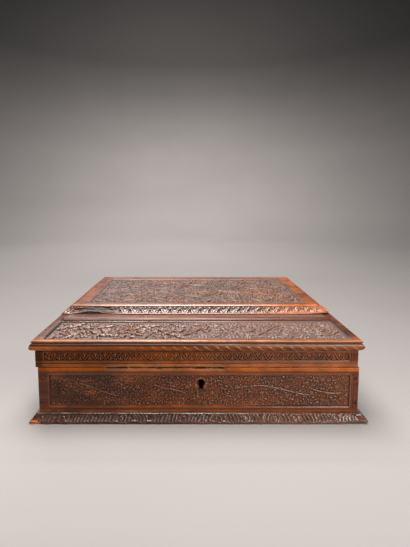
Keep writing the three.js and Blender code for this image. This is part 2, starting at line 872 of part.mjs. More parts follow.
addCase();
addLock();
addLid();
addFlap();
addHinges(
  "lid_hinge",
  lidHinge,
  lidAxis,
  {
    on: "case",
    group: box,
    length: lidHinge.caseLeafLength,
    turn: hangingLeaf,
    nails: lidHingeNails.case,
  },
  {
    on: "lid",
    group: lid,
    length: lidHinge.lidLeafLength,
    turn: uprightLeaf,
    nails: lidHingeNails.lid,
  },
);
addHinges(
  "flap_hinge",
  flapHinge,
  flapAxis,
  {
    on: "lid",
    group: lid,
    length: flapHinge.lidLeafLength,
    turn: lyingLeaf,
    nails: flapHingeNails.lid,
  },
  {
    on: "flap",
    group: flap,
    length: flapHinge.flapLeafLength,
    turn: uprightLeaf,
    nails: flapHingeNails.flap,
  },
);

export default box;
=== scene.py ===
import json
import math
from types import SimpleNamespace

import bmesh
import bpy
import numpy as np
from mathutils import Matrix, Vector

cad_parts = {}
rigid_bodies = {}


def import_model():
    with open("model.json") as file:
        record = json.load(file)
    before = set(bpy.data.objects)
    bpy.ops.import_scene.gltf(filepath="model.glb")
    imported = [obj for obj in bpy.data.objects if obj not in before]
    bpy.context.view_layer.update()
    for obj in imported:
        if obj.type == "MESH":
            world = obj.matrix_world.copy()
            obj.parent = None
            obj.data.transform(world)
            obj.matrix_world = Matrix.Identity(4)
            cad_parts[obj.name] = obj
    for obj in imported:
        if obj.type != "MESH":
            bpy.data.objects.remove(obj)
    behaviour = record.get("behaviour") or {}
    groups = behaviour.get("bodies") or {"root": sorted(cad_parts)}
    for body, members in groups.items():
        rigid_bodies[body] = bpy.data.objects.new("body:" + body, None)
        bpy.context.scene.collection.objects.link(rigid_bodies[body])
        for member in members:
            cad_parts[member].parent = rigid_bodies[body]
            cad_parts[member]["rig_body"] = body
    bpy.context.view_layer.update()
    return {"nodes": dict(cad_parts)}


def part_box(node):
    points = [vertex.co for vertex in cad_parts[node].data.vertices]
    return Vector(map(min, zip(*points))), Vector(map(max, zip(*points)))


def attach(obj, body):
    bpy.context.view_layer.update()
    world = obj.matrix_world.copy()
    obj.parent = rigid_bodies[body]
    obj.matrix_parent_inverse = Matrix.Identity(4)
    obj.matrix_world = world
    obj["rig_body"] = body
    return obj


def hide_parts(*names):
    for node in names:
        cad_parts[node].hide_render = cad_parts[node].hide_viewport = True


# A carved fruitwood box with a hinged lid and a hinged flap on the lid. Shapes are worked out in
# millimetres and turned into metres where a mesh is made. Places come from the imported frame.

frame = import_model()

MM = 0.001
FINE = 0.5  # grid step on carved wood
COARSE = 3.0  # grid step on plain wood
ALL = (-1e4, 1e4)  # a stretch that takes in the whole box
EASE = 0.7  # radius of a worn arris
EASE_STEPS = 3
EDGE = 0.7  # width of the steep side of a carved motif
STEM_STEP = 1.2  # between the points of a carved stem
SIDE_RUB = 0.3  # how worn the plain sides of a board are
MITRE_ZONE = 14.0  # stretch of a moulding that is drawn out or in to meet its mitre

# The photograph's camera, in millimetres, degrees and pixels
IMAGE = (410, 547)
FOCAL_PIXELS = 319.1
PRINCIPAL_POINT = (193.5, 226.7)
CAMERA_PLACE = (-5.95, -499.7, 263.5)
CAMERA_DOWN = 4.767
SENSOR = 36

# For each way that a face looks: the directions along it, up it and out of it
DIRECTIONS = {
    "front": ((1, 0, 0), (0, 0, 1), (0, -1, 0)),
    "back": ((-1, 0, 0), (0, 0, 1), (0, 1, 0)),
    "left": ((0, -1, 0), (0, 0, 1), (-1, 0, 0)),
    "right": ((0, 1, 0), (0, 0, 1), (1, 0, 0)),
    "top": ((1, 0, 0), (0, 1, 0), (0, 0, 1)),
}


# Small helpers


def soft_step(value):
    """Rises smoothly from 0 at 0 to 1 at 1."""
    value = np.clip(value, 0, 1)
    return value * value * (3 - 2 * value)


def ridge(distance, half_width):
    """1 on a line, falling smoothly to 0 at half_width from it."""
    return soft_step(1 - np.abs(distance) / half_width)


def bell(distance, width):
    """1 on a line, falling off to both sides without an end."""
    return np.exp(-((distance / width) ** 2))


def box_blur(values, reach):
    """Mean over a square of reach grid steps to each side, twice."""
    size = 2 * reach + 1
    for _ in range(4):
        padded = np.pad(values, ((reach + 1, reach), (0, 0)), mode="edge")
        total = np.cumsum(padded, axis=0)
        values = ((total[size:] - total[:-size]) / size).T
    return values


def evenly(low, high, step):
    return np.linspace(low, high, max(2, int(round((high - low) / step)) + 1))


def distances(points):
    """How far each point is from the first, walking along the line."""
    steps = np.linalg.norm(np.diff(points, axis=0), axis=1)
    return np.concatenate([[0], np.cumsum(steps)])


def resample(points, step):
    """The same line with points about a step apart, and how far along it each is."""
    points = np.asarray(points, float)
    walked = distances(points)
    places = evenly(0, walked[-1], step)
    return np.stack([np.interp(places, walked, points[:, k]) for k in (0, 1)], 1), places


def quadratic(start, control, end):
    """A curve of one bend, without its first point."""
    t = np.linspace(0, 1, 12)[1:, None]
    start, control, end = (np.array(p, float) for p in (start, control, end))
    return (1 - t) ** 2 * start + 2 * t * (1 - t) * control + t * t * end


def smooth_curve(knots):
    """A smooth line through a few chosen points."""
    knots = np.asarray(knots, float)
    ends = np.vstack([2 * knots[0] - knots[1], knots, 2 * knots[-1] - knots[-2]])
    t = np.linspace(0, 1, 9)[:-1, None]
    pieces = []
    for a, b, c, d in zip(ends[:-3], ends[1:-2], ends[2:-1], ends[3:]):
        bend = (2 * a - 5 * b + 4 * c - d) * t**2 + (3 * b - a - 3 * c + d) * t**3
        pieces.append(0.5 * (2 * b + (c - a) * t + bend))
    return resample(np.vstack(pieces + [knots[-1:]]), STEM_STEP)[0]


def spiral(centre, radius, start, turn, sweep, inner):
    """A line that winds inwards to a share of its radius. turn is 1 for anticlockwise and -1
    for clockwise."""
    share = np.linspace(0, 1, 60)
    reach = radius * (1 - (1 - inner) * share)
    angle = math.radians(start) + turn * math.radians(sweep) * share
    points = np.stack([reach * np.cos(angle), reach * np.sin(angle)], 1) + centre
    return resample(points, STEM_STEP)[0]


def turns(count, start=0.0):
    """Angles spread evenly round a circle."""
    return [start + 2 * math.pi * k / count for k in range(count)]


def around(centre, radius, angle):
    """The point at a distance and an angle from a centre."""
    return centre[0] + radius * math.cos(angle), centre[1] + radius * math.sin(angle)


def inset(area, by):
    left, right, low, high = area
    return left + by, right - by, low + by, high - by


def extent(node):
    """Lowest and highest corners of a CAD node in millimetres."""
    low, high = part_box(node)
    return np.array(low) / MM, np.array(high) / MM


# Carving

# Depth of the ground round the motifs of each carved field
GROUND = SimpleNamespace(front=1.15, side=0.95, frieze=0.9, strip=2.4, ledge=1.7, flap=1.5)
GROUND_EDGE = 0.9  # width of the slope at a field's edge
LOBE_DEPTH = 0.28  # of half a leaf's width
VEIN_DEPTH = 0.4  # of a leaf's height
VEINED_FROM = 2.6  # a narrower leaf has no vein


class Carving:
    """Heights over a grid of places u by v, in millimetres. The old surface is 0."""

    inner_from = None  # the ring behind the grid from which on the wood is bare

    def __init__(self, u, v, facing):
        self.u = u[:, None]
        self.v = v[None, :]
        self.left, self.right = u[0], u[-1]
        self.low, self.high = v[0], v[-1]
        self.along, self.up, self.out = (np.array(d, float) for d in DIRECTIONS[facing])
        self.grain = "y" if facing in ("left", "right") else "x"
        shape = (len(u), len(v))
        self.raised = np.zeros(shape)  # 0 on the ground to 1 at full height
        self.sunk = np.zeros(shape)  # depth of the ground
        self.cut = np.zeros(shape)  # depth of lines, chips and splits
        self.rubbed = np.zeros(shape)  # 0 to 1, worn down to bright wood
        self.raw = np.zeros(shape)  # 0 to 1, broken and grey
        self.grime = np.zeros(shape)  # 0 to 1, darker: blackened by handling, and painted shade where shade falls
        self.polish = np.zeros(shape)  # -1 to 1, shinier than the rest
        self.dust = np.full(shape, 0.6)  # 0 to 1, grey bloom on what faces up
        self.bleach = np.zeros(shape)  # -1 to 1, paler crests: worn wood and painted highlights
        self.roundness = 0.6  # 0 for motifs with flat tops to 1 for domed ones
        self.outlines = 0.0  # depth of the line cut beside every leafy stem and round leaves

    def spot(self, u, v, n):
        """Points of the box, from places along the face, up it and out of it."""
        return u[..., None] * self.along + v[..., None] * self.up + n[..., None] * self.out

    def noise(self, cell_u, cell_v, seed):
        """Smooth random values from -1 to 1 over the grid, from a lattice of such cells."""
        rng = np.random.default_rng(seed)
        a = (self.u - self.left) / cell_u
        b = (self.v - self.low) / cell_v
        table = rng.uniform(-1, 1, (int(a.max()) + 3, int(b.max()) + 3))
        i = a.astype(int)
        j = b.astype(int)
        s = soft_step(a - i)
        t = soft_step(b - j)
        near = table[i, j] * (1 - t) + table[i, j + 1] * t
        far = table[i + 1, j] * (1 - t) + table[i + 1, j + 1] * t
        return near * (1 - s) + far * s

    def window(self, x, y, reach):
        """The part of the grid within reach of a point, and the offsets from the point."""
        i = slice(*np.searchsorted(self.u[:, 0], (x - reach, x + reach)))
        j = slice(*np.searchsorted(self.v[0], (y - reach, y + reach)))
        return (i, j), self.u[i] - x, self.v[:, j] - y

    def margin(self, left, right, low, high):
        """How far each place is inside a rectangle."""
        du = np.minimum(self.u - left, right - self.u)
        dv = np.minimum(self.v - low, high - self.v)
        return np.minimum(du, dv)

    def add(self, where=1.0, **amounts):
        """Adds to the finish, as far as where says."""
        for name, amount in amounts.items():
            setattr(self, name, getattr(self, name) + where * amount)

    def fade(self, where, *names):
        """Takes away from what is named, as far as where says."""
        for name in names:
            setattr(self, name, getattr(self, name) * (1 - where))

    def wear(self, amount):
        self.rubbed = np.maximum(self.rubbed, amount)

    def rub(self, left, right, low, high, amount, soft=3.0):
        share = soft_step(self.margin(left, right, low, high) / soft + 0.5)
        self.wear(amount * share)

    def lift(self, where, value):
        self.raised[where] = np.maximum(self.raised[where], value)

    def deepen(self, where, value):
        self.cut[where] = np.maximum(self.cut[where], value)

    def field(self, area, depth):
        """Sinks the ground inside a rectangle."""
        self.sunk = np.maximum(self.sunk, depth * soft_step(self.margin(*area) / GROUND_EDGE))

    def line_along(self, v, width, depth, left=ALL[0], right=ALL[1]):
        inside = (self.u > left) & (self.u < right)
        self.cut += inside * depth * ridge(self.v - v, width)

    def line_across(self, u, width, depth, low, high):
        inside = (self.v > low) & (self.v < high)
        self.cut += inside * depth * ridge(self.u - u, width)

    def line_round(self, area, width, depth):
        left, right, low, high = area
        for v in (low, high):
            self.line_along(v, width, depth, left, right)
        for u in (left, right):
            self.line_across(u, width, depth, low, high)

    def dome(self, inside, half):
        """Rise of a motif, from its edge to half its width further in."""
        share = np.clip(inside / half, 0, 1)
        crown = 1 - self.roundness * (1 - np.sqrt(share * (2 - share)))
        return soft_step(inside / min(EDGE, half)) * crown

    def stem(self, points, width):
        half = 0.5 * width
        for p, q in zip(points[:-1], points[1:]):
            length = max(float(np.hypot(*(q - p))), 1e-6)
            x, y = (q - p) / length
            where, dx, dy = self.window(*(p + q) / 2, half + length)
            along = np.clip(dx * x + dy * y, -length / 2, length / 2)
            distance = np.hypot(dx - along * x, dy - along * y)
            self.lift(where, self.dome(half - distance, half))

    def groove(self, points, width, depth):
        """A thin line cut through everything."""
        for p, q in zip(points[:-1], points[1:]):
            reach = width + float(np.hypot(*(q - p))) / 2
            where, dx, dy = self.window(*(p + q) / 2, reach)
            self.deepen(where, depth * soft_step((reach - np.hypot(dx, dy)) / width))

    def leaf(self, x, y, angle, length, width, curl=0.0, lobes=0):
        where, dx, dy = self.window(x, y, 1.1 * length)
        cosine, sine = math.cos(angle), math.sin(angle)
        along = dx * cosine + dy * sine
        t = np.clip(along / length, 0, 1)
        across = dy * cosine - dx * sine - curl * length * t * t
        half = 0.5 * width * np.sin(math.pi * t**0.75) ** 0.8
        if lobes:
            half = half * (1 + LOBE_DEPTH * np.cos(2 * math.pi * lobes * t + math.pi))
        inside = half - np.abs(across)
        if self.outlines:
            beside = ridge(inside + 0.6, 0.9) * (along > 0) * (along < length)
            self.deepen(where, self.outlines * beside)
        vein = VEIN_DEPTH * ridge(across, 0.12 * width + 0.2) * (width > VEINED_FROM)
        self.lift(where, self.dome(inside, 0.5 * width) * (1 - vein))

    def flower(self, x, y, radius, petals, turn=0.0):
        where, dx, dy = self.window(x, y, radius)
        r = np.hypot(dx, dy)
        wave = np.cos(petals * (np.arctan2(dy, dx) - turn))
        edge = radius * (0.8 + 0.2 * wave)
        heart = 0.3 * radius
        petal = soft_step((edge - r) / EDGE)
        petal = petal * (0.45 + 0.55 * np.sin(math.pi * np.clip(r / edge, 0, 1)))
        petal = petal * (1 - 0.55 * soft_step((-wave - 0.5) / 0.5))
        petal = petal * (1 - 0.6 * ridge(r - 1.3 * heart, 0.45 * heart))
        self.lift(where, np.maximum(petal, soft_step((heart - r) / (0.6 * heart))))

    def dot(self, x, y, radius, height=1.0):
        where, dx, dy = self.window(x, y, radius)
        self.lift(where, height * self.dome(radius - np.hypot(dx, dy), radius))

    def ring(self, x, y, radius, width):
        where, dx, dy = self.window(x, y, radius + width)
        inside = 0.5 * width - np.abs(np.hypot(dx, dy) - radius)
        self.lift(where, soft_step(inside / min(EDGE, 0.5 * width)))

    def small_dot(self, x, y, radius, rng):
        self.dot(x, y, radius, 0.85)

    def small_leaf(self, x, y, radius, rng):
        angle = rng.uniform(0, 2 * math.pi)
        foot = around((x, y), -radius, angle)
        self.leaf(*foot, angle, 2 * radius, radius, rng.uniform(-0.3, 0.3))

    def berries(self, x, y, radius, rng):
        size = 0.36 * radius
        for angle in turns(5, rng.uniform(0, math.pi)):
            self.dot(*around((x, y), radius - size, angle), size)
        self.dot(x, y, size)

    def leafy(self, points, width, leaf, spacing, rng, lobes=0):
        """A stem with leaves on both sides in turn."""
        self.stem(points, width)
        steps = np.diff(points, axis=0)
        if self.outlines:
            aside = np.stack([steps[:, 1], -steps[:, 0]], 1) / np.hypot(*steps.T)[:, None]
            self.groove(points[:-1] + (0.5 * width + 0.3) * aside, 0.7, self.outlines)
        walked = distances(points)[1:]
        side = 1
        place = spacing * 0.7
        while place < walked[-1] - 0.4 * leaf:
            k = int(np.searchsorted(walked, place))
            heading = math.atan2(steps[k][1], steps[k][0])
            size = leaf * rng.uniform(0.75, 1.15)
            turn = side * math.radians(rng.uniform(38, 62))
            self.leaf(*points[k], heading + turn, size, 0.46 * size, -0.25 * side, lobes)
            side = -side
            place += spacing * rng.uniform(0.8, 1.2)

    def fill(self, area, sizes, rng, tries=700):
        """Small motifs wherever there is room, the largest first."""
        for radius, motif in sizes:
            left, right, low, high = inset(area, radius)
            xs = rng.uniform(left, right, tries)
            ys = rng.uniform(low, high, tries)
            for x, y in zip(xs, ys):
                where = self.window(x, y, radius * 0.95)[0]
                if self.raised[where].max(initial=0) < 0.04:
                    motif(self, x, y, radius, rng)

    def settle(self, seed):
        """Works out the height of every point, and what the finish needs to know about it."""
        grit = self.noise(1.2, 1.2, seed)
        swell = self.noise(31, 19, seed + 1)
        chatter = self.noise(3.1, 2.3, seed + 2)
        ground = self.sunk * (1 - self.raised)
        worn = self.raised * self.sunk * (0.10 + 0.08 * chatter)
        height = -ground * (1 - 0.10 * grit) - worn - self.cut - 0.06 * (1 + swell)
        near = box_blur(height, 2)
        wide = box_blur(height, 6)
        hollow = (near - height) / 0.18 + (wide - height) / 1.6
        crest = (height - near) / 0.22 + (height - wide) / 0.9
        # The cavity is painted as shade in hollows; the crest, with the paling, paints high
        # places pale as worn wood and painted highlights.
        self.height = height
        self.cavity = np.clip(0.5 * hollow, 0, 1)
        self.crest = np.clip(0.5 * crest + self.bleach, 0, 1)
        self.level = np.clip(1 + height / max(float(self.sunk.max()), 0.5), 0, 1)


# Faces of boards and runs of moulding


def axis_places(low, high, ease, fine):
    """Places across a face, and how far each has dropped round the worn arris."""
    turn = np.linspace(math.pi / 2, 0, EASE_STEPS + 1)[:-1]
    near = low + ease * (1 - np.sin(turn))
    drop = ease * (1 - np.cos(turn))
    stops = [low + ease, high - ease]
    if fine:
        stops += [max(fine[0], low + ease), min(fine[1], high - ease)]
    stops = sorted(set(stops))
    inner = []
    for a, b in zip(stops[:-1], stops[1:]):
        is_fine = fine and a >= fine[0] - 1e-6 and b <= fine[1] + 1e-6
        inner.append(evenly(a, b, FINE if is_fine else COARSE)[:-1])
    inner = np.concatenate(inner + [[stops[-1]]])
    places = np.concatenate([near, inner, (low + high - near)[::-1]])
    return places, np.concatenate([drop, np.zeros(len(inner)), drop[::-1]])


class Face(Carving):
    """One face of a box-shaped board, with worn arrises all round."""

    inner_from = 1

    def __init__(self, low, high, facing, fine_u=None, fine_v=None, ease=EASE):
        across, up, out = (sorted((low @ d, high @ d)) for d in DIRECTIONS[facing])
        u, drop_u = axis_places(*across, ease, fine_u)
        v, drop_v = axis_places(*up, ease, fine_v)
        super().__init__(u, v, facing)
        self.drop_u = drop_u[:, None]
        self.drop_v = drop_v[None, :]
        self.surface = out[1]
        self.thickness = out[1] - out[0]
        self.ease = ease

    def points(self):
        fall = self.drop_u + self.drop_v - self.drop_u * self.drop_v / self.ease
        share = fall / self.ease
        self.wear(3.2 * share * (1 - share))
        rim = share > 0.999
        self.rubbed[rim] = SIDE_RUB
        self.crest[rim] = 0
        self.cavity[rim] = 0
        return self.spot(self.u, self.v, self.surface + self.height - fall)

    def corners(self, depth, inset=0.0):
        """Four corners at a depth below the face, inset by one number or by one for each
        side in the order left, right, low, high."""
        a, b, c, d = np.broadcast_to(inset, 4)
        u = np.array([self.left + a, self.right - b, self.right - b, self.left + a])
        v = np.array([self.low + c, self.low + c, self.high - d, self.high - d])
        return self.spot(u, v, np.full(4, self.surface - depth))

    def back(self, ease=0.5):
        """The far side of the board, with its own eased edges."""
        return [self.corners(self.thickness - ease), self.corners(self.thickness, ease)]


class Run(Carving):
    """A length of moulding. Its outline is in (distance out, height), its span says where it
    starts and ends, how far out its wall is and how high its foot, and its mitres are 1 where
    an end is mitred and 0 where it is square."""

    def __init__(self, outline, facing, mitres, span, tall):
        self.start, self.end, self.wall, self.base = span
        self.mitres = mitres
        self.tall = tall
        self.outline, v = resample(outline, FINE)
        tangent = np.gradient(self.outline, axis=0)
        tangent /= np.hypot(*tangent.T)[:, None]
        self.normal = np.stack([tangent[:, 1], -tangent[:, 0]], 1)
        reach = float(self.outline[:, 0].max())
        first = self.start - reach * mitres[0]
        last = self.end + reach * mitres[1]
        super().__init__(evenly(first, last, FINE), v, facing)
        self.raise_low = 0.0  # how far its foot is lifted or broken away, at each place along

    def placed(self, out, rise):
        """Points at a distance out and a height, one for each place along and each row."""
        start = self.start - out * self.mitres[0]
        end = self.end + out * self.mitres[1]
        near = self.start + MITRE_ZONE
        far = self.end - MITRE_ZONE
        u = np.broadcast_to(self.u, out.shape)
        u = np.where(u < near, near - (near - u) * (near - start) / (near - self.left), u)
        u = np.where(u > far, far + (u - far) * (end - far) / (self.right - far), u)
        return self.spot(u, self.base + rise, self.wall + out)

    def points(self):
        shifted = self.outline + self.height[:, :, None] * self.normal
        out = np.maximum(shifted[:, :, 0], 0.05)
        rise = np.maximum(shifted[:, :, 1], 0.15 * self.outline[:, 1])
        top = self.outline[:, 1].max()
        rise = rise + self.raise_low * np.clip(1 - rise / (0.75 * top), 0, 1)
        return self.placed(out, rise)

    def back(self):
        """Corners of the hidden side, flat against the wall."""
        out = np.zeros((self.u.size, 2))
        grid = self.placed(out, out + (0.0, self.tall))
        return [np.array([grid[0, 0], grid[-1, 0], grid[-1, 1], grid[0, 1]])]


def three_runs(front_node, side_node, reach, outline):
    """A moulding along the front and up both sides of the box, mitred at the front corners.
    reach is how far it stands out."""
    low, high = extent(front_node)
    left, right = low[0] + reach, high[0] - reach
    front, back = low[1] + reach, extent(side_node)[1][1]
    spans = {
        "front": ((1, 1), (left, right, -front, low[2])),
        "left": ((0, 1), (-back, -front, -left, low[2])),
        "right": ((1, 0), (front, back, right, low[2])),
    }
    tall = high[2] - low[2]
    return {side: Run(outline, side, *span, tall) for side, span in spans.items()}


def worn_outline(outline):
    """Rounds the corners of an outline a little, keeping its ends."""
    points = resample(outline, 0.4)[0]
    for _ in range(3):
        points[1:-1] = (points[:-2] + 2 * points[1:-1] + points[2:]) / 4
    return points


# Meshes

# The finish of a point that isn't on a carved grid
PLAIN_FINISH = {
    "cavity": 0.0,
    "crest": 0.0,
    "level": 1.0,
    "rubbed": SIDE_RUB,
    "raw": 0.0,
    "grime": 0.3,
    "polish": 0.0,
    "dust": 0.6,
}


def linked(name, data):
    """A new object in the scene."""
    made = bpy.data.objects.new(name, data)
    bpy.context.scene.collection.objects.link(made)
    return made


def cell_corners(grid):
    """What is at the four corners of each cell of a grid."""
    return np.stack([grid[:-1, :-1], grid[1:, :-1], grid[1:, 1:], grid[:-1, 1:]], 2)


def border_polygons(index, ring):
    """Polygons from the rim of the grid to the first ring of four corners."""
    return [
        [*index[::-1, 0], ring[0], ring[1]],
        [*index[-1, ::-1], ring[1], ring[2]],
        [*index[:, -1], ring[2], ring[3]],
        [*index[0, :], ring[3], ring[0]],
    ]


def unwrap(points, index, polygons):
    """One map for the whole piece: the grid below, then each polygon in a row of its own."""
    n, m = index.shape
    rise = distances(points[index[n // 2]])
    run = distances(points[index[:, m // 2]])
    length = max(run[-1], np.linalg.norm(points[index[-1, 0]] - points[index[0, 0]]))
    a, b = np.meshgrid(run / run[-1], rise, indexing="ij")
    gap = 0.01 * rise[-1]
    level = rise[-1] + gap
    rows = [cell_corners(np.stack([a, b], -1)).reshape(-1, 2)]
    for polygon in polygons:
        corners = points[polygon]
        widest = np.argsort(-np.ptp(corners, axis=0))[:2]
        places = corners[:, widest] - corners[:, widest].min(0)
        rows.append(np.stack([places[:, 0] / length, places[:, 1] + level], 1))
        level += places[:, 1].max() + gap
    places = np.vstack(rows)
    places[:, 1] /= level
    return places.astype(np.float32)


def patch_object(name, carving, rings, coats):
    """A closed mesh: the carved grid in front, and rings of four corners behind it."""
    grid = carving.points()
    count = grid.shape[0] * grid.shape[1]
    index = np.arange(count).reshape(grid.shape[:2])
    ring_index = [count + 4 * k + np.arange(4) for k in range(len(rings))]
    points = np.vstack([grid.reshape(-1, 3), *rings]) * MM
    quads = cell_corners(index).reshape(-1, 4)
    polygons = border_polygons(index, ring_index[0])
    for a, b in zip(ring_index[:-1], ring_index[1:]):
        for c in range(4):
            d = (c + 1) % 4
            polygons.append([a[d], a[c], b[c], b[d]])
    polygons.append(ring_index[-1][[0, 3, 2, 1]])
    mesh = bpy.data.meshes.new(name)
    for coat in coats:
        mesh.materials.append(coat)
    mesh.from_pydata(points, [], [*quads, *polygons])
    order = np.arange(len(mesh.polygons))
    mesh.polygons.foreach_set("use_smooth", order < len(quads))
    if carving.inner_from is not None:
        bare = order >= len(quads) + 4 * carving.inner_from
        mesh.polygons.foreach_set("material_index", bare.astype(np.int32))
    for key, value in PLAIN_FINISH.items():
        data = np.full(len(points), value, np.float32)
        data[:count] = np.clip(getattr(carving, key), -1, 1).ravel()
        mesh.attributes.new(key, "FLOAT", "POINT").data.foreach_set("value", data)
    layer = mesh.uv_layers.new(name="OFBake")
    layer.uv.foreach_set("vector", unwrap(points, index, polygons).ravel())
    return linked(name, mesh)


def combined(piece, tools, operation):
    """Cuts the tools from a piece, or joins them to it, and removes the tools."""
    for tool in tools:
        step = piece.modifiers.new("step", "BOOLEAN")
        step.operation = operation
        step.solver = "MANIFOLD"
        step.object = tool
    graph = bpy.context.evaluated_depsgraph_get()
    old_meshes = [piece.data, *(tool.data for tool in tools)]
    new_mesh = bpy.data.meshes.new_from_object(piece.evaluated_get(graph))
    piece.modifiers.clear()
    piece.data = new_mesh
    for tool in tools:
        bpy.data.objects.remove(tool)
    for mesh in old_meshes:
        bpy.data.meshes.remove(mesh)


def prism_along_y(outline, front, back):
    """A closed prism of an outline in (x, z)."""
    count = len(outline)
    points = [(x * MM, y * MM, z * MM) for y in (front, back) for x, z in outline]
    faces = [tuple(range(count)), tuple(range(2 * count - 1, count - 1, -1))]
    for k in range(count):
        after = (k + 1) % count
        faces.append((after, k, count + k, count + after))
    mesh = bpy.data.meshes.new("prism")
    mesh.from_pydata(points, [], faces)
    mesh.update()
    return linked("prism", mesh)


def stacked(rings):
    """A bmesh through rings of points, the first a single point, and its last ring."""
    shape = bmesh.new()
    rings = [[shape.verts.new(Vector(p) * MM) for p in ring] for ring in rings]
    sides = len(rings[1])
    for k in range(sides):
        after = (k + 1) % sides
        shape.faces.new((rings[0][0], rings[1][k], rings[1][after]))
        for a, b in zip(rings[1:-1], rings[2:]):
            shape.faces.new((a[k], b[k], b[after], a[after]))
    return shape, rings[-1]


def soften(shape, angle, width, **how):
    """Rounds the edges that are sharper than an angle in radians."""
    sharp = [e for e in shape.edges if e.calc_face_angle(0) > angle]
    bmesh.ops.bevel(shape, geom=sharp, offset=width * MM, segments=2, affect="EDGES", **how)


def shaped(name, shape, material, smooth=False):
    """An object from a bmesh."""
    for face in shape.faces:
        face.smooth = smooth
    mesh = bpy.data.meshes.new(name)
    shape.to_mesh(mesh)
    shape.free()
    mesh.materials.append(material)
    return linked(name, mesh)


# Materials


class Tree:
    """The node tree of one material."""

    def __init__(self, name):
        self.material = bpy.data.materials.new(name)
        self.material.use_nodes = True
        self.nodes = self.material.node_tree.nodes
        self.links = self.material.node_tree.links
        self.nodes.clear()
        self.shader = self.node("BsdfPrincipled")
        self.node("OutputMaterial", Surface=self.shader.outputs["BSDF"])
        self.coordinates = self.node("TexCoord").outputs

    def feed(self, socket, value):
        if isinstance(value, bpy.types.NodeSocket):
            self.links.new(value, socket)
        else:
            socket.default_value = value

    def node(self, kind, settings=(), **inputs):
        """A new node, with its settings made and then its inputs fed. An underscore in an
        input's name stands for a space."""
        node = self.nodes.new(f"ShaderNode{kind}")
        for name, value in dict(settings).items():
            setattr(node, name, value)
        for name, value in inputs.items():
            self.feed(node.inputs[name.replace("_", " ")], value)
        return node

    def give(self, **inputs):
        """Feeds the shader's inputs."""
        for name, value in inputs.items():
            self.feed(self.shader.inputs[name.replace("_", " ")], value)

    def attribute(self, name):
        return self.node("Attribute", {"attribute_name": name}).outputs["Fac"]

    def split(self, vector):
        return self.node("SeparateXYZ", Vector=self.coordinates[vector]).outputs

    def noise(self, scale, detail=4.0, roughness=0.55, distortion=0.0):
        """Noise with features about 1 / scale metres across, by axis where scale has three."""
        scales = scale if isinstance(scale, tuple) else (scale,) * 3
        place = self.node("Mapping", Vector=self.coordinates["Object"], Scale=scales)
        return self.node(
            "TexNoise",
            Vector=place.outputs["Vector"],
            Scale=1.0,
            Detail=detail,
            Roughness=roughness,
            Distortion=distortion,
        ).outputs["Fac"]

    def math(self, operation, a, b, clamp=False):
        node = self.node("Math", {"operation": operation, "use_clamp": clamp})
        self.feed(node.inputs[0], a)
        self.feed(node.inputs[1], b)
        return node.outputs[0]

    def times(self, a, b, clamp=False):
        return self.math("MULTIPLY", a, b, clamp)

    def plus(self, a, b, clamp=False):
        return self.math("ADD", a, b, clamp)

    def spread(self, value, low, high, to_low=0.0, to_high=1.0):
        """Turns low to high into to_low to to_high, smoothly, and stays there beyond them."""
        return self.node(
            "MapRange",
            {"interpolation_type": "SMOOTHSTEP"},
            Value=value,
            From_Min=low,
            From_Max=high,
            To_Min=to_low,
            To_Max=to_high,
        ).outputs["Result"]

    def mix(self, factor, a, b, blend="MIX"):
        a, b = ((*c, 1) if isinstance(c, tuple) else c for c in (a, b))
        settings = {"data_type": "RGBA", "blend_type": blend}
        return self.node("Mix", settings, Factor=factor, A=a, B=b).outputs["Result"]

    def bump(self, height, distance, strength, after=None):
        node = self.node("Bump", Strength=strength, Distance=distance, Height=height)
        if after is not None:
            self.links.new(after, node.inputs["Normal"])
        return node.outputs["Normal"]


# The pale colour is for worn high places and painted highlights, the near-black brown for what
# handling blackens and for painted shade.
DARK = (0.100, 0.021, 0.005)
BODY = (0.300, 0.062, 0.012)
BRIGHT = (0.640, 0.162, 0.022)
PALE = (0.470, 0.262, 0.155)
SOOT_AND_SHADE = (0.040, 0.018, 0.010)
TORN_DARK = (0.016, 0.010, 0.007)
TORN_LIGHT = (0.20, 0.135, 0.10)
INNER_DARK = (0.10, 0.055, 0.030)
INNER_LIGHT = (0.27, 0.155, 0.085)
IRON_SKIN = (0.035, 0.031, 0.029)
IRON_RUST = (0.115, 0.045, 0.020)
IRON_PIT = (0.01, 0.008, 0.007)

# Scales of the noise across the grain are many times those along it
GRAIN = {"x": (9, 260, 260), "y": (260, 9, 260)}
PORES = {"x": (45, 1500, 1500), "y": (1500, 45, 1500)}

# low and high are the roughness in the carved ground and on high places
WAXED = {
    "carved": SimpleNamespace(low=0.42, high=0.22, gloss=0.95, dust=0.9, bump=0.0006),
    "smooth": SimpleNamespace(low=0.4, high=0.26, gloss=0.55, dust=0.3, bump=0.0009),
}

SLOTS = {
    "carved": "carved_fruitwood",
    "smooth": "smooth_fruitwood",
    "inner": "plain_inner_wood",
    "iron": "wrought_iron",
}


def darker(colour, share):
    return tuple(share * c for c in colour)


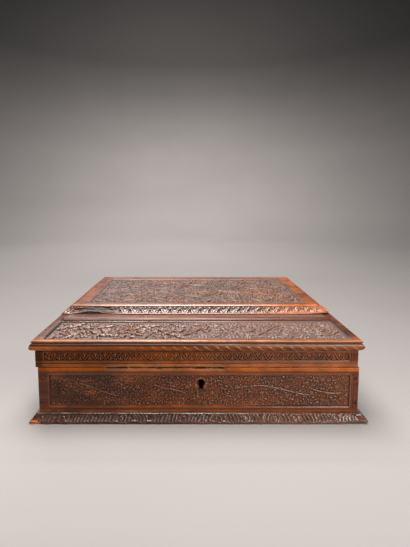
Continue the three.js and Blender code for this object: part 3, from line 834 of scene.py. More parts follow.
def waxed_wood(name, grain, wax):
    """Old waxed wood. It is painted dark in its hollows as shade, bright where hands have worn
    it, paler on its crests as worn wood and painted highlights, and streaked along its grain."""
    tree = Tree(name)
    times, plus, spread, mix = tree.times, tree.plus, tree.spread, tree.mix
    at = SimpleNamespace(**{key: tree.attribute(key) for key in PLAIN_FINISH})
    streaks = tree.noise(GRAIN[grain], 6.0, 0.62, 0.6)
    pores = tree.noise(PORES[grain], 3.0, 0.5)
    clouds = tree.noise(11, 4.0, 0.6)
    patches = tree.noise(42, 5.0, 0.65)
    specks = tree.noise(700, 3.0, 0.6)

    worn = times(at.rubbed, spread(patches, 0.3, 0.6, 0.45, 1.25))
    worn = times(worn, spread(streaks, 0.25, 0.75, 0.7, 1.15), True)
    # Crests are painted pale: worn wood and painted highlights.
    crest_wear_and_highlight = times(at.crest, spread(clouds, 0.3, 0.7, 0.25, 0.8))
    stained = times(spread(clouds, 0.45, 0.7), 0.45)
    # Darkening by handling and by painted shade, less where the wood is worn.
    dirt_and_shade_share = times(at.grime, spread(worn, 0.0, 0.8, 1.0, 0.25))
    # Painted shade: hollows and the low carved ground are darkened.
    deep = plus(spread(at.level, 0.95, 0.25, 0.0, 0.1), times(at.cavity, 0.95), True)
    flecked = times(spread(pores, 0.55, 0.8), 0.35)
    fibres = mix(spread(streaks, 0.3, 0.7), TORN_DARK, TORN_LIGHT)
    colour = mix(spread(streaks, 0.32, 0.72), DARK, BODY)
    colour = mix(worn, colour, BRIGHT)
    colour = mix(crest_wear_and_highlight, colour, PALE)
    colour = mix(stained, colour, DARK)
    colour = mix(dirt_and_shade_share, colour, SOOT_AND_SHADE)
    colour = mix(deep, colour, darker(DARK, 0.25))
    colour = mix(flecked, colour, darker(DARK, 0.3))
    colour = mix(at.raw, colour, fibres)

    rough = spread(at.level, 0.1, 0.7, wax.low, wax.high)
    rough = plus(rough, spread(patches, 0.35, 0.7, -0.05, 0.12))
    rough = plus(rough, times(at.cavity, 0.25))
    rough = plus(rough, times(at.polish, -0.16))
    rough = plus(rough, times(at.raw, 0.4), True)

    upward = tree.split("Normal")["Z"]
    gloss = spread(upward, 0.2, 0.7, 0.22, wax.gloss)
    gloss = plus(gloss, times(at.polish, 0.4), True)
    dust = times(spread(upward, 0.4, 0.95, 0.0, wax.dust), at.dust)
    dust = times(dust, spread(at.rubbed, 0.05, 0.5, 1.0, 0.2))
    dust = times(dust, spread(at.level, 0.2, 0.95, 1.0, 0.6))

    fine = plus(times(pores, 0.8), times(specks, 0.5))
    coarse = plus(streaks, times(patches, 0.6))
    normal = tree.bump(coarse, wax.bump, 0.5, tree.bump(fine, 0.00012, 0.7))
    tree.give(Base_Color=colour, Roughness=rough, Specular_IOR_Level=gloss, Normal=normal)
    tree.give(Sheen_Weight=dust, Sheen_Roughness=0.45)
    return tree.material


def bare_wood(name, grain):
    """Unpolished wood inside the box, with dust and stains."""
    tree = Tree(name)
    times, spread, mix = tree.times, tree.spread, tree.mix
    streaks = tree.noise(GRAIN[grain], 6.0, 0.6, 0.8)
    pores = tree.noise(PORES[grain], 3.0, 0.5)
    clouds = tree.noise(9, 5.0, 0.6)
    stains = tree.noise(25, 4.0, 0.7)
    shade = darker(INNER_DARK, 0.35)
    colour = mix(spread(streaks, 0.3, 0.7), INNER_DARK, INNER_LIGHT)
    colour = mix(times(spread(stains, 0.5, 0.68), 0.6), colour, INNER_DARK)
    colour = mix(times(spread(pores, 0.55, 0.8), 0.5), colour, shade)
    colour = mix(times(spread(clouds, 0.5, 0.7), 0.4), colour, shade)
    normal = tree.bump(tree.plus(streaks, times(pores, 0.4)), 0.0006, 0.6)
    tree.give(Base_Color=colour, Roughness=spread(stains, 0.3, 0.7, 0.6, 0.85), Normal=normal)
    return tree.material


def iron(name):
    """Forged iron with a pitted brown skin, bare in patches where the rust is thin."""
    tree = Tree(name)
    times, spread, mix = tree.times, tree.spread, tree.mix
    pits = tree.noise(900, 5.0, 0.65)
    dents = tree.noise(220, 3.0, 0.5)
    rust = tree.noise(130, 6.0, 0.7)
    colour = mix(spread(rust, 0.46, 0.66), IRON_SKIN, IRON_RUST)
    colour = mix(times(spread(pits, 0.5, 0.7), 0.5), colour, IRON_PIT)
    normal = tree.bump(tree.plus(dents, times(pits, 0.35)), 0.0005, 0.8)
    tree.give(Base_Color=colour, Metallic=spread(rust, 0.48, 0.66, 0.95, 0.15))
    tree.give(Roughness=spread(rust, 0.4, 0.66, 0.42, 0.85), Normal=normal)
    return tree.material


finishes = {("iron", "x"): iron(SLOTS["iron"])}
for grain_axis in GRAIN:
    for kind, wax in WAXED.items():
        made = waxed_wood(f"{SLOTS[kind]}_{grain_axis}", grain_axis, wax)
        finishes[kind, grain_axis] = made
    finishes["inner", grain_axis] = bare_wood(f"{SLOTS['inner']}_{grain_axis}", grain_axis)


def stand_in(piece, node):
    """Puts a piece in the place of a CAD node."""
    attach(piece, frame["nodes"][node]["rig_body"])
    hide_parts(node)


def wooden(node, carving, seed, finish, rings=None, tools=(), operation="DIFFERENCE"):
    """Makes the wood of a node from its carving."""
    carving.settle(seed)
    coats = [finishes[finish, carving.grain]]
    if carving.inner_from is not None:
        coats.append(finishes["inner", carving.grain])
    piece = patch_object(f"{node}_wood", carving, rings or carving.back(), coats)
    if tools:
        combined(piece, tools, operation)
    stand_in(piece, node)


# Foliage

FOLIAGE = SimpleNamespace(
    pitch=30,
    margin=1.6,
    stem=0.9,
    leaf=4.4,
    spacing=3.1,
    flower=3.4,
    lobes=0,
    sizes=(
        (2.9, Carving.berries),
        (2.2, Carving.small_leaf),
        (1.8, Carving.berries),
        (1.3, Carving.small_dot),
        (0.9, Carving.small_dot),
    ),
)
BOLD_FOLIAGE = SimpleNamespace(
    pitch=45,
    margin=2.0,
    stem=2.9,
    leaf=12.5,
    spacing=8.5,
    flower=5.2,
    lobes=2,
    sizes=(
        (6.6, Carving.berries),
        (5.4, Carving.small_leaf),
        (4.4, Carving.berries),
        (3.0, Carving.small_leaf),
        (1.8, Carving.small_dot),
    ),
)


def rinceau(carving, area, spec, rng):
    """A running vine with a spiral and a flower in each bend, and filling between."""
    area = inset(area, spec.margin)
    left, right, low, high = area
    middle = (low + high) / 2
    swing = 0.5 * (high - low) - 0.55 * spec.leaf
    count = max(2, int(round((right - left) / spec.pitch)))
    pitch = (right - left) / count
    x = np.linspace(left + 2, right - 2, 12 * count)
    phase = (x - left) / pitch * math.pi
    vine = np.stack([x, middle + 0.8 * swing * np.sin(phase)], 1)
    vine = resample(vine, STEM_STEP)[0]
    carving.leafy(vine, spec.stem * 1.15, spec.leaf, spec.spacing, rng, spec.lobes)
    for k in range(count):
        bend = 1 if k % 2 == 0 else -1
        centre = (left + (k + 0.5) * pitch, middle - bend * 0.22 * swing)
        radius = min(0.42 * pitch, 0.72 * swing) * rng.uniform(0.92, 1.05)
        line = spiral(centre, radius, bend * 40, -bend, rng.uniform(320, 400), 0.42)
        carving.leafy(line, spec.stem, spec.leaf * 0.85, spec.spacing, rng, spec.lobes)
        carving.flower(*centre, spec.flower, int(rng.integers(5, 8)), rng.uniform(0, 1))
    carving.fill(area, spec.sizes, rng)


def border_lines(face, area, depth):
    """A double engraved line round a field."""
    for by in (1.3, 3.3):
        face.line_round(inset(area, -by), 0.7, depth)


# Front of the case

FRONT_FIELD = (-179.0, 181.5, 15.4, 57.6)
# Long stems on the front, in (x, z), as they lie across the finer foliage
LONG_STEMS = (
    ((-142, 45.7), (-122, 38), (-105, 31.4), (-96, 29.5)),
    ((-52, 42.5), (-40, 39), (-28, 37), (-16, 33)),
    ((40, 39), (58, 41), (76, 42), (98, 38), (125, 31.4), (138, 31)),
    ((138, 37), (145, 35), (160, 32.6), (170, 33)),
)
LONG_STEM_WIDTH = 1.7
PEGS = ("peg_left_lower", "peg_left_upper", "peg_right_lower", "peg_right_upper")
PEG_SIDES = 9
# A peg's share of its full radius, and how deep below the surface that is
PEG_STATIONS = ((0.0, 0.35), (0.75, 0.4), (1.0, 0.75), (1.0, 5.0), (0.97, 12.0), (0.8, 16.8))
# The drops are from the top of the front board, to the middle of the head and the slot's end
KEYHOLE = SimpleNamespace(head_radius=4.0, slot=4.8, head_drop=19.3, slot_drop=28.0)
# The worn place round the keyhole
HALO = SimpleNamespace(height=44, radius=9, soft=5)
CHIP_DEPTH = 3.5
PEG_GAP = SimpleNamespace(hole=0.15, peg=0.05)  # what is added to a radius or taken from it
CUT_BEYOND = 3  # how far a cutting tool sticks out of the board


def patina_and_shade(face):
    """How much the front is darkened, more towards its left end: aged colour, and painted shade
    for light that falls more on the right.
    """
    return 0.05 + 0.5 * soft_step((60 - face.u) / 230)


def chip_seam(face, away, reach, uneven, soft, cell, seed):
    """Chips out of the edge that meets the seam of the front. away is the distance of each
    place from the seam, and reach how far the chips come from it."""
    u = face.u
    where = soft_step((u + 112) / 4) * soft_step((33 - u) / 8) * (1 - 0.8 * ridge(u + 84, 5))
    ragged = reach + uneven * face.noise(cell, math.inf, seed)
    face.cut += CHIP_DEPTH * where * soft_step((ragged - away) / soft)


def front_carving(face):
    area = FRONT_FIELD
    face.field(area, GROUND.front)
    for knots in LONG_STEMS:
        face.stem(smooth_curve(knots), LONG_STEM_WIDTH)
    rinceau(face, area, FOLIAGE, np.random.default_rng(11))
    face.sunk *= soft_step((area[3] - face.v) / 5 + 0.15)
    soft_foot = soft_step((face.v - area[2]) / 6 + 0.15)
    face.sunk *= np.maximum(soft_foot, soft_step((face.u + 20) / 150))
    ground = (1 - face.raised) * soft_step(face.sunk / 0.8)
    # Towards the right the carving's ground is darkened less and the wood paled a little, as
    # painted light from the right; raised motifs are painted paler as worn wood and highlights.
    right_part = soft_step((face.u + 20) / 100)
    face.add(ground, grime=0.3 - 0.2 * right_part)
    face.add(face.sunk > 0.1, polish=0.2 + right_part * (0.65 - 0.4 * ground))
    face.bleach += 0.22 * face.raised + 0.06 * right_part
    border_lines(face, area, 0.35)
    face.fade(0.85 * soft_step((face.v - area[3]) / 0.6), "cut")
    face.cut *= 0.4 + 0.6 * soft_step((face.u + 20) / 150)


def keyhole_outline(x, top):
    """A round head over a narrower slot with a round foot, in (x, z)."""
    radius = KEYHOLE.head_radius
    half = KEYHOLE.slot / 2
    corner = math.asin(half / radius)
    head = (x, top - KEYHOLE.head_drop)
    foot = (x, top - KEYHOLE.slot_drop + half)
    upper = np.linspace(-math.pi / 2 + corner, 1.5 * math.pi - corner, 25)
    lower = np.linspace(math.pi, 2 * math.pi, 13)
    return [around(head, radius, a) for a in upper] + [around(foot, half, a) for a in lower]


def keyhole_distance(face, x, top):
    """Distance of every place on a face from the keyhole."""
    du = np.abs(face.u - x)
    dv = face.v - top
    middle = -(KEYHOLE.head_drop + KEYHOLE.slot_drop) / 2
    reach = (KEYHOLE.slot_drop - KEYHOLE.head_drop) / 2
    head = np.hypot(du, dv + KEYHOLE.head_drop) - KEYHOLE.head_radius
    beside = np.maximum(du - KEYHOLE.slot / 2, 0)
    slot = np.hypot(beside, np.maximum(np.abs(dv - middle) - reach, 0))
    return np.maximum(np.minimum(head, slot), 0)


def front_wear(face, low, high, lock_x):
    _, right, foot, top = FRONT_FIELD
    chip_seam(face, high[2] - face.v, 1.3, 0.7, 0.4, 9, 17)
    face.rub(low[0], high[0], top + 3, high[2] + 5, 0.9)
    face.rub(low[0], high[0], low[2] - 5, foot - 3, 0.45)
    face.rub(right + 4, high[0] + 5, low[2], high[2], 0.12)
    face.add(soft_step((face.u - right - 2) / 3), grime=0.25)
    where, du, dv = face.window(lock_x, HALO.height, HALO.radius)
    halo = np.zeros_like(face.cut)
    halo[where] = soft_step((HALO.radius - np.hypot(du, 0.8 * dv)) / HALO.soft)
    face.wear(0.75 * halo)
    face.fade(0.6 * halo, "raised")
    face.fade(0.55 * halo, "sunk")
    face.rub(*FRONT_FIELD, 0.34)
    blotch = face.noise(21, 9, 87) + 0.6 * face.noise(6, 4, 89)
    face.rubbed *= 1 + 0.4 * blotch
    away = keyhole_distance(face, lock_x, high[2])
    # Darker round the keyhole, whose edge is also cut back.
    keyhole_ring = soft_step(1.2 - away / 1.9)
    face.add(keyhole_ring, grime=0.9)
    face.fade(keyhole_ring, "rubbed")
    face.cut += 0.8 * soft_step(1 - away / 1.1)
    # Darker towards the left, as aged colour and painted shade, and a little darker in the right
    # of the field; the band above the field is worn brighter towards the right, partly as
    # painted light.
    above = soft_step((face.v - top - 2) / 1.5)
    right_part = soft_step((face.u + 20) / 150)
    face.grime += patina_and_shade(face) * (1 - 0.2 * blotch) * (1 - 0.5 * above)
    face.grime += 0.12 * right_part * (1 - above)
    face.add(above, rubbed=0.4 * right_part, polish=-0.5 * (1 - right_part))


def make_front_board():
    low, high = extent("front_board")
    lock_low, lock_high = extent("lock_plate")
    lock_x = (lock_low[0] + lock_high[0]) / 2
    face = Face(low, high, "front", ALL, ALL)
    front_carving(face)
    front_wear(face, low, high, lock_x)
    outlines = [keyhole_outline(lock_x, high[2])]
    for peg in PEGS:
        peg_low, peg_high = extent(peg)
        x, _, z = (peg_low + peg_high) / 2
        radius = (peg_high[0] - peg_low[0]) / 2 + PEG_GAP.hole
        outlines.append([around((x, z), radius, angle) for angle in turns(32)])
    span = (low[1] - CUT_BEYOND, high[1] + CUT_BEYOND)
    tools = [prism_along_y(outline, *span) for outline in outlines]
    wooden("front_board", face, 101, "carved", tools=tools)


def make_pegs():
    """Whittled pegs. Their ends are slightly domed and a little below the surface."""
    for k, node in enumerate(PEGS):
        low, high = extent(node)
        x, _, z = (low + high) / 2
        radius = (high[0] - low[0]) / 2 - PEG_GAP.peg
        rings = []
        for share, depth in PEG_STATIONS:
            ring = []
            for side, angle in enumerate(turns(PEG_SIDES if share else 1, 0.4 * k)):
                wobble = 1 - 0.05 * ((side * 7 + k) % 3)
                across, up = around((x, z), radius * share * wobble, angle)
                ring.append((across, low[1] + depth, up))
            rings.append(ring)
        shape, last = stacked(rings)
        shape.faces.new(last)
        bmesh.ops.recalc_face_normals(shape, faces=shape.faces)
        soften(shape, 0.5, 0.12)
        piece = shaped(f"{node}_wood", shape, finishes["smooth", "y"])
        for key, value in (PLAIN_FINISH | {"rubbed": 0.1, "grime": 0.5}).items():
            layer = piece.data.attributes.new(key, "FLOAT", "POINT")
            layer.data.foreach_set("value", np.full(len(layer.data), value, np.float32))
        stand_in(piece, node)


# Rest of the case

SIDE_MARGIN = 12.0
BASE = SimpleNamespace(projection=8.5, tip=3.2, fillet=0.8)
FLUTE_PITCH = 4.2
# Groups of flutes on the front, in places along the middle of the moulding, with their slant
FLUTES = (
    (-182, -168, 1),
    (-156, -97, 1),
    (-88, -78, 1),
    (-77, -63, -1),
    (-53, -21, 1),
    (-12, 20, 1),
    (31, 52, -1),
    (60, 76, -1),
    (78, 88, 1),
    (95, 109, -1),
    (119, 158, -1),
    (168, 192, 1),
)
BALLS = (-188, -162, -92, -17, 26, 56, 91, 114, 163)


def make_side_board(side, seed):
    node = f"{side}_board"
    low, high = extent(node)
    face = Face(low, high, side, ALL, ALL)
    foot, top = FRONT_FIELD[2:]
    area = (face.left + SIDE_MARGIN, face.right - SIDE_MARGIN, foot, top)
    face.field(area, GROUND.side)
    rinceau(face, area, FOLIAGE, np.random.default_rng(seed))
    border_lines(face, area, 0.5)
    face.rub(face.left, face.right, top + 3, high[2] + 5, 0.6)
    face.rub(face.left, face.right, low[2] - 5, foot - 3, 0.35)
    wooden(node, face, 131, "carved")


def plain_board(node, facing, finish, seed, rub=0.2):
    """A planed board, slightly uneven, with worn arrises."""
    face = Face(*extent(node), facing)
    face.rubbed += rub * (1 + 0.5 * face.noise(60, 25, seed))
    wooden(node, face, seed, finish)


def base_outline(height):
    """An upright tip, a hollow above it and a fillet at the top."""
    tip, fillet, reach = BASE.tip, BASE.fillet, BASE.projection
    waist = ((reach + fillet) / 2, (height + tip) / 2)
    return np.vstack([
        [(reach, 0.0), (reach, tip)],
        quadratic((reach, tip), (reach * 0.8, tip + 0.3), waist),
        quadratic(waist, (reach * 0.3, height - 0.3), (fillet, height)),
    ])


def gadroons(run, groups, balls):
    """Slanting flutes in groups, each with its slant, and balls between them."""
    u = run.u + 0.9 * run.noise(17, 6, 9)
    rise = run.v / run.high
    band = soft_step((rise - 0.13) / 0.08) * soft_step((0.88 - rise) / 0.12)
    uneven = np.clip(0.8 + 0.5 * run.noise(6, 7, 19), 0.3, 1.2)
    bow = 2.6 * np.sin(math.pi * rise) - 5.0 * rise + 1.5
    for start, end, slant in groups:
        place = u + slant * bow
        inside = soft_step(place - start) * soft_step(end - place)
        wave = np.abs(np.sin(math.pi * (place - start) / FLUTE_PITCH))
        run.cut += 1.3 * band * inside * uneven * (1 - wave)
    for ball in balls:
        away = np.hypot(u - ball, run.v - 0.5 * run.high)
        run.cut += 0.9 * band * ridge(away - 3.4, 1.1)
    run.cut += 0.6 * band * np.clip(run.noise(2.4, 3.0, 27), 0, 1)


def base_finish(run):
    tip = soft_step((3.6 - run.v) / 1.5)
    brighter = soft_step((run.u + 60) / 180)
    crown = soft_step((run.v / run.high - 0.88) / 0.06)
    # Lighter towards the right, with paler crests and tip there, as painted light from the
    # right; darker along the top, most on the left.
    run.grime += 0.75 - 0.4 * brighter + 0.4 * crown * (1 - brighter)
    run.add(brighter * (1 - crown), bleach=0.12)
    run.polish += (0.3 + 0.7 * brighter) * (1 - crown) - crown * (0.9 - 0.5 * brighter)
    run.add(bell(run.v - 4.2, 1.6) * (1 - brighter), polish=-0.7)
    run.wear(0.15 * tip)
    run.add(tip * brighter, bleach=0.35)
    run.add(tip * (1 + run.noise(7, 3, 5)), cut=0.25)


def make_base_mouldings():
    low, high = extent("base_moulding_front")
    outline = worn_outline(base_outline(high[2] - low[2]))
    nodes = ("base_moulding_front", "base_moulding_left")
    for side, run in three_runs(*nodes, BASE.projection, outline).items():
        if side == "front":
            gadroons(run, FLUTES, BALLS)
        else:
            starts = np.arange(run.left + 8, run.right - 40, 46)
            pairs = [(s + 17 * k, s + 14 + 17 * k, 1 - 2 * k) for s in starts for k in (0, 1)]
            gadroons(run, pairs, starts + 37)
        base_finish(run)
        if side == "front":
            run.raise_low = 2.6 * soft_step((run.u - 120) / 75)
            corner = soft_step((-185 - run.u) / 5) * soft_step((6 - run.v) / 2)
            run.wear(corner)
            run.fade(corner, "grime")
            run.add(corner, cut=0.5)
        if side == "right":
            run.raise_low = 2.6 * soft_step((run.start + 45 - run.u) / 45)
        wooden(f"base_moulding_{side}", run, 171, "carved")


# Lid

# Heights above the underside of the lid rails, and the plain blocks at the ends
FRIEZE = SimpleNamespace(low=8.0, high=19.0, lines=(5.2, 6.9, 19.9), block=10.0, period=12.2)
FRIEZE_TOP = 22  # fine carving ends here, behind the rope moulding
FRIEZE_SIZES = ((1.3, Carving.small_dot), (0.9, Carving.small_dot))
LIP = 2.4  # height of the lip of the top, which hangs over the rails
STRIP_HEIGHT = 8.0
NO_LIP = 0.02  # what keeps faces that meet apart
BLOCK_GAP = 0.2
BLOCK_BED = 0.4  # how far the block between the strips reaches into its rail
STRIP_FIELD = SimpleNamespace(side=12.0, front=5.5, back=0.4)  # smooth border of the strip
ROPE = SimpleNamespace(projection=4.9, pitch=12.4, slope=38)  # slope in degrees
BEAD_STEP = 1.2


def chevrons(face, left, right, low, high, rng):
    """A zigzag ribbon with a leaf in every point."""
    count = int(round((right - left) / FRIEZE.period))
    pitch = (right - left) / count
    tall = high - low
    for k in range(count):
        x = left + (k + 0.5) * pitch
        tip = (x + rng.uniform(-0.9, 0.9), high - rng.uniform(0.3, 1.6))
        face.stem(np.array([(x - pitch / 2, low + 0.5), tip]), rng.uniform(1.0, 1.6))
        face.stem(np.array([tip, (x + pitch / 2, low + 0.5)]), rng.uniform(1.0, 1.6))
        lean = rng.uniform(-0.15, 0.15)
        for foot, base, up in ((x, low, 1), (x + pitch / 2, high, -1)):
            face.leaf(foot, base + up * 0.3, up * math.pi / 2 + lean, 0.66 * tall, 2.6)
            for side in (1, -1):
                angle = up * (math.pi / 2 - side * 0.6)
                face.leaf(foot + side * 0.8, base + up * 0.4, angle, 0.45 * tall, 1.7)


def lid_rail_carving(face, seed):
    rng = np.random.default_rng(seed)
    base = face.low
    low = base + FRIEZE.low
    high = base + FRIEZE.high
    left = face.left + FRIEZE.block
    right = face.right - FRIEZE.block
    area = (left, right, low, high)
    face.field(area, GROUND.frieze)
    chevrons(face, left + 0.8, right - 0.8, low + 0.4, high - 0.4, rng)
    face.fill(area, FRIEZE_SIZES, rng, 500)
    for rise in FRIEZE.lines:
        face.line_along(base + rise, 0.7, 0.6)
    for x in (left - 1.4, left - 4.2, right + 1.4, right + 4.2):
        face.line_across(x, 0.6, 0.4, base + 6, high + 3)
    face.rub(face.left, face.right, base - 5, base + FRIEZE.lines[0] - 0.4, 0.8, 1.0)
    face.rub(face.left, face.right, base + FRIEZE.lines[0] + 0.4, low, 0.9, 0.6)
    face.cut += 0.7 * np.clip((face.v - base - 3.0) / 3.0, -1.4, 0) ** 2
    face.rub(*area, 0.35)
    blotch = face.noise(17, 8, seed + 3)
    face.rubbed *= 1 + 0.3 * blotch
    face.sunk *= 0.85 + 0.3 * face.noise(29, 9, seed + 4)
    face.add(np.clip(-blotch, 0, 1), grime=0.25)


def make_lid_front_rail():
    low, high = extent("lid_front_rail")
    face = Face(low, high, "front", ALL, (ALL[0], low[2] + FRIEZE_TOP))
    lid_rail_carving(face, 41)
    left_block = soft_step((face.left + FRIEZE.block - face.u) / 2)
    # Darker towards the left, as aged colour and painted shade as on the front, and on the left
    # end block.
    face.grime += 0.6 * patina_and_shade(face) + 0.35 * left_block
    face.add(soft_step((60 - face.u) / 120), polish=-0.5)
    chip_seam(face, face.v - low[2], 0.8, 0.4, 0.5, 7, 7)
    wooden("lid_front_rail", face, 141, "carved")


def lip_rings(face, foot, low, high, front=NO_LIP):
    """Rings behind a face of the top: under its lip, back to the rails, and at its foot. low
    and high are the corners of a box that ends where the lip starts."""
    lip = (low[0] - face.left, face.right - high[0], front, NO_LIP)
    return [face.corners(LIP), face.corners(LIP, lip), face.corners(foot, lip)]


def make_lid_side_rail(side, seed):
    """The rail itself, and the block on it that fills the space between the two strips."""
    node = f"lid_{side}_rail"
    low, high = extent(node)
    rail_low, rail_high = extent("lid_front_rail")
    body_low = np.array([max(low[0], rail_low[0]), low[1], low[2]])
    body_high = np.array([min(high[0], rail_high[0]), high[1], rail_high[2]])
    face = Face(body_low, body_high, side, ALL, (ALL[0], low[2] + FRIEZE_TOP))
    lid_rail_carving(face, seed)
    block_front = extent("front_strip")[1][1] + BLOCK_GAP
    block_back = extent("rear_strip")[0][1] - BLOCK_GAP
    block_low = np.array([low[0], block_front, rail_high[2] - BLOCK_BED])
    block_high = np.array([high[0], block_back, high[2]])
    top = Face(block_low, block_high, "top")
    top.inner_from = None
    top.settle(157)
    rings = lip_rings(top, top.thickness, body_low, body_high)
    block = patch_object("block", top, rings, [finishes["carved", "y"]])
    wooden(node, face, 151, "carved", None, [block], "UNION")


def strip_finish(face, field, low, high):
    """The front strip is worn bright along its arris, with a painted highlight there, and dull
    and dark at its ends, with painted shade towards their back.
    """
    left, right = field[:2]
    right_end = soft_step((face.u - right) / 2)
    aside = soft_step((np.maximum(left - face.u, face.u - right) + 2) / 2)
    shaded = aside * soft_step((face.v - low[1] - 4) / 14)
    face.rub(low[0] - 5, high[0] + 5, low[1] - 5, low[1] + 2.8, 1.0, 1.2)
    face.polish += soft_step((low[1] + 4 - face.v) / 2)
    # Painted highlight: the arris is painted paler.
    face.add(soft_step((low[1] + 3.4 - face.v) / 1.2), bleach=0.6)
    face.rub(low[0] - 5, left - 2, low[1], high[1], 0.35)
    face.rub(right + 2, high[0] + 5, low[1], high[1], 0.35)
    # Painted shade over both ends, deepening towards the back.
    face.add(shaded, grime=0.7, dust=-0.6)
    face.add(right_end, grime=0.2, dust=-0.5)
    face.add(right_end * soft_step((low[1] + 20 - face.v) / 10), polish=-0.7)


def make_front_strip():
    low, high = extent("front_strip")
    bead_front = extent("sill_bead")[0][1]
    rail_front = extent("lid_front_rail")[0][1]
    left, right = low[0] + STRIP_FIELD.side, high[0] - STRIP_FIELD.side
    field = (left, right, low[1] + STRIP_FIELD.front, bead_front - STRIP_FIELD.back)
    face = Face(low, high, "top", ALL, (low[1], bead_front + 2), ease=1.4)
    left_part = soft_step((40 - face.u) / 120)
    face.field(field, GROUND.strip)
    face.sunk *= 0.42 + 0.58 * soft_step((60 - face.u) / 130)
    face.polish += 1.4 * left_part - 0.5
    face.roundness = 0.75
    face.outlines = 1.1
    face.add(grime=0.35, dust=0.4 - 0.15 * left_part)
    # Crests are painted less pale towards the right: fewer painted highlights there.
    face.add(soft_step((face.u + 40) / 100), bleach=-0.3)
    rinceau(face, field, BOLD_FOLIAGE, np.random.default_rng(61))
    for x in (left - 3, right + 3):
        face.line_across(x, 0.8, 0.4, field[2] - 1, field[3])
    strip_finish(face, field, low, high)
    face.inner_from = 2
    rings = lip_rings(face, STRIP_HEIGHT, *extent("lid_front_rail"), rail_front - low[1])
    wooden("front_strip", face, 181, "carved", rings)


def make_rear_strip():
    face = Face(*extent("rear_strip"), "top")
    face.rubbed += 0.4
    face.inner_from = 2
    rings = lip_rings(face, STRIP_HEIGHT, *extent("lid_front_rail"))
    wooden("rear_strip", face, 191, "smooth", rings)


def half_round(reach, height):
    """An upright half ellipse, from its lower end to its upper end."""
    angles = np.linspace(-math.pi / 2 + 0.12, math.pi / 2 - 0.12, 24)
    return np.stack([reach * np.cos(angles), height / 2 + height / 2 * np.sin(angles)], 1)


def twist(run, fresh, lit):
    """Slanting ridges of a twisted ribbon on the lower part, and a plain band above. fresh is
    how little the ridges are worn, and lit how far the band is cut to face upwards and painted
    pale as a reflection; where lit is low the band is painted dark as the shadow under the lip."""
    slope = 1 / math.tan(math.radians(ROPE.slope))
    u = run.u + 0.8 * run.noise(17, 9, 13)
    rise = run.v / run.high
    share = ((u + slope * run.v) / ROPE.pitch) % 1
    crest = bell(share - 0.5, 0.085)
    swell = np.sin(math.pi * share) ** 2
    band = soft_step(rise / 0.12) * soft_step((0.66 - rise) / 0.1)
    upper = soft_step((rise - 0.57) / 0.1)
    depth = fresh * band
    run.cut += 0.65 * depth * (1 - crest) - 0.25 * depth * swell
    run.cut += 0.35 * ridge(rise - 0.64, 0.05)
    run.cut += 0.6 * lit * soft_step((rise - 0.54) / 0.16)
    run.wear(0.45 + 0.2 * crest * depth)
    run.fade(0.9 * upper, "rubbed")
    # Painted shadow at the foot of the rope, and darker where the ridges end under the band.
    run.grime += 0.35 * (1 - band) * (1 - upper)
    # The band is painted dark as the lip's shadow where lit is low, and pale as a reflection
    # where it is high.
    run.add(upper, grime=0.85 - 0.6 * lit, polish=2.0 * lit - 1.0, dust=1.2 * lit - 0.7)
    run.add(upper, bleach=soft_step(2 * lit - 0.6))


def make_rope_mouldings():
    low, high = extent("rope_moulding_front")
    outline = half_round(ROPE.projection, high[2] - low[2])
    nodes = ("rope_moulding_front", "rope_moulding_left")
    for side, run in three_runs(*nodes, ROPE.projection, outline).items():
        if side == "front":
            fresh = 0.15 + 0.85 * soft_step((run.u + 110) / 120)
            twist(run, fresh, soft_step((run.u + 60) / 130))
        else:
            twist(run, 1.0, 0.5)
        wooden(f"rope_moulding_{side}", run, 201, "carved")


class Bead(Carving):
    """A half-round bead lying along x, a little slimmer at its ends."""

    def __init__(self, low, high):
        self.middle = (low[1] + high[1]) / 2
        self.half = (high[1] - low[1]) / 2
        self.base = low[2]
        angles = np.linspace(math.pi - 0.14, 0.14, 30)
        outline = np.stack([self.half * np.cos(angles), (high[2] - low[2]) * np.sin(angles)], 1)
        self.outline, v = resample(outline, FINE)
        super().__init__(evenly(low[0], high[0], BEAD_STEP), v, "top")
        from_end = np.minimum(self.u - self.left, self.right - self.u)
        self.slim = 1 - 0.25 * soft_step(1 - from_end / 1.5)

    def points(self):
        y = self.middle + self.outline[:, 0] * self.slim
        z = self.base + (self.outline[:, 1] + self.height) * self.slim
        return self.spot(self.u, y, z)

    def back(self):
        reach = self.half * self.slim[0, 0]
        u = np.array([self.left, self.right, self.right, self.left])
        y = self.middle + reach * np.array([-1, -1, 1, 1])
        return [self.spot(u, y, np.full(4, self.base))]


def make_sill_bead():
    """The bead on the front strip, worn along its top, with a painted shadow along its foot on
    the left.
    """
    bead = Bead(*extent("sill_bead"))
    u, v, top = bead.u, bead.v, bead.high
    left_part = soft_step((-80 - u) / 30)
    foot = soft_step((0.34 * top - v) / 1.5) * left_part
    bead.rubbed += 0.08 + 0.3 * ridge(u + 20, 110) * ridge(v - 0.45 * top, 3)
    bead.grime += 0.45
    bead.add(left_part, dust=0.3)
    # Painted shadow along the foot on the left, over a shallow cut.
    bead.add(foot, grime=0.5, dust=-0.9, cut=0.6)
    bead.cut += 0.12 * (1 + bead.noise(40, 4, 3))
    bead.cut += 0.35 * np.clip(bead.noise(26, 1.1, 5) - 0.35, 0, 1)
    wooden("sill_bead", bead, 211, "smooth")


# Flap

LEDGE = SimpleNamespace(
    projection=13.0,
    height=10.3,
    lower=1.4,
    upper=1.0,
    pitch=14.4,
    band=(2.8, 13.8),
)
# Width of the smooth border round the flap's carved field
FLAP_BORDER = SimpleNamespace(side=20, front=8, back=19)
MEDALLION = SimpleNamespace(outer=36, inner=30, dots=28, dot=1.5, leaves=12, leaf=20, flower=9.5)
SCROLL = SimpleNamespace(stem=3.4, leaf=14.0, spacing=10.0, lobes=3, flower=7.5, petals=6)
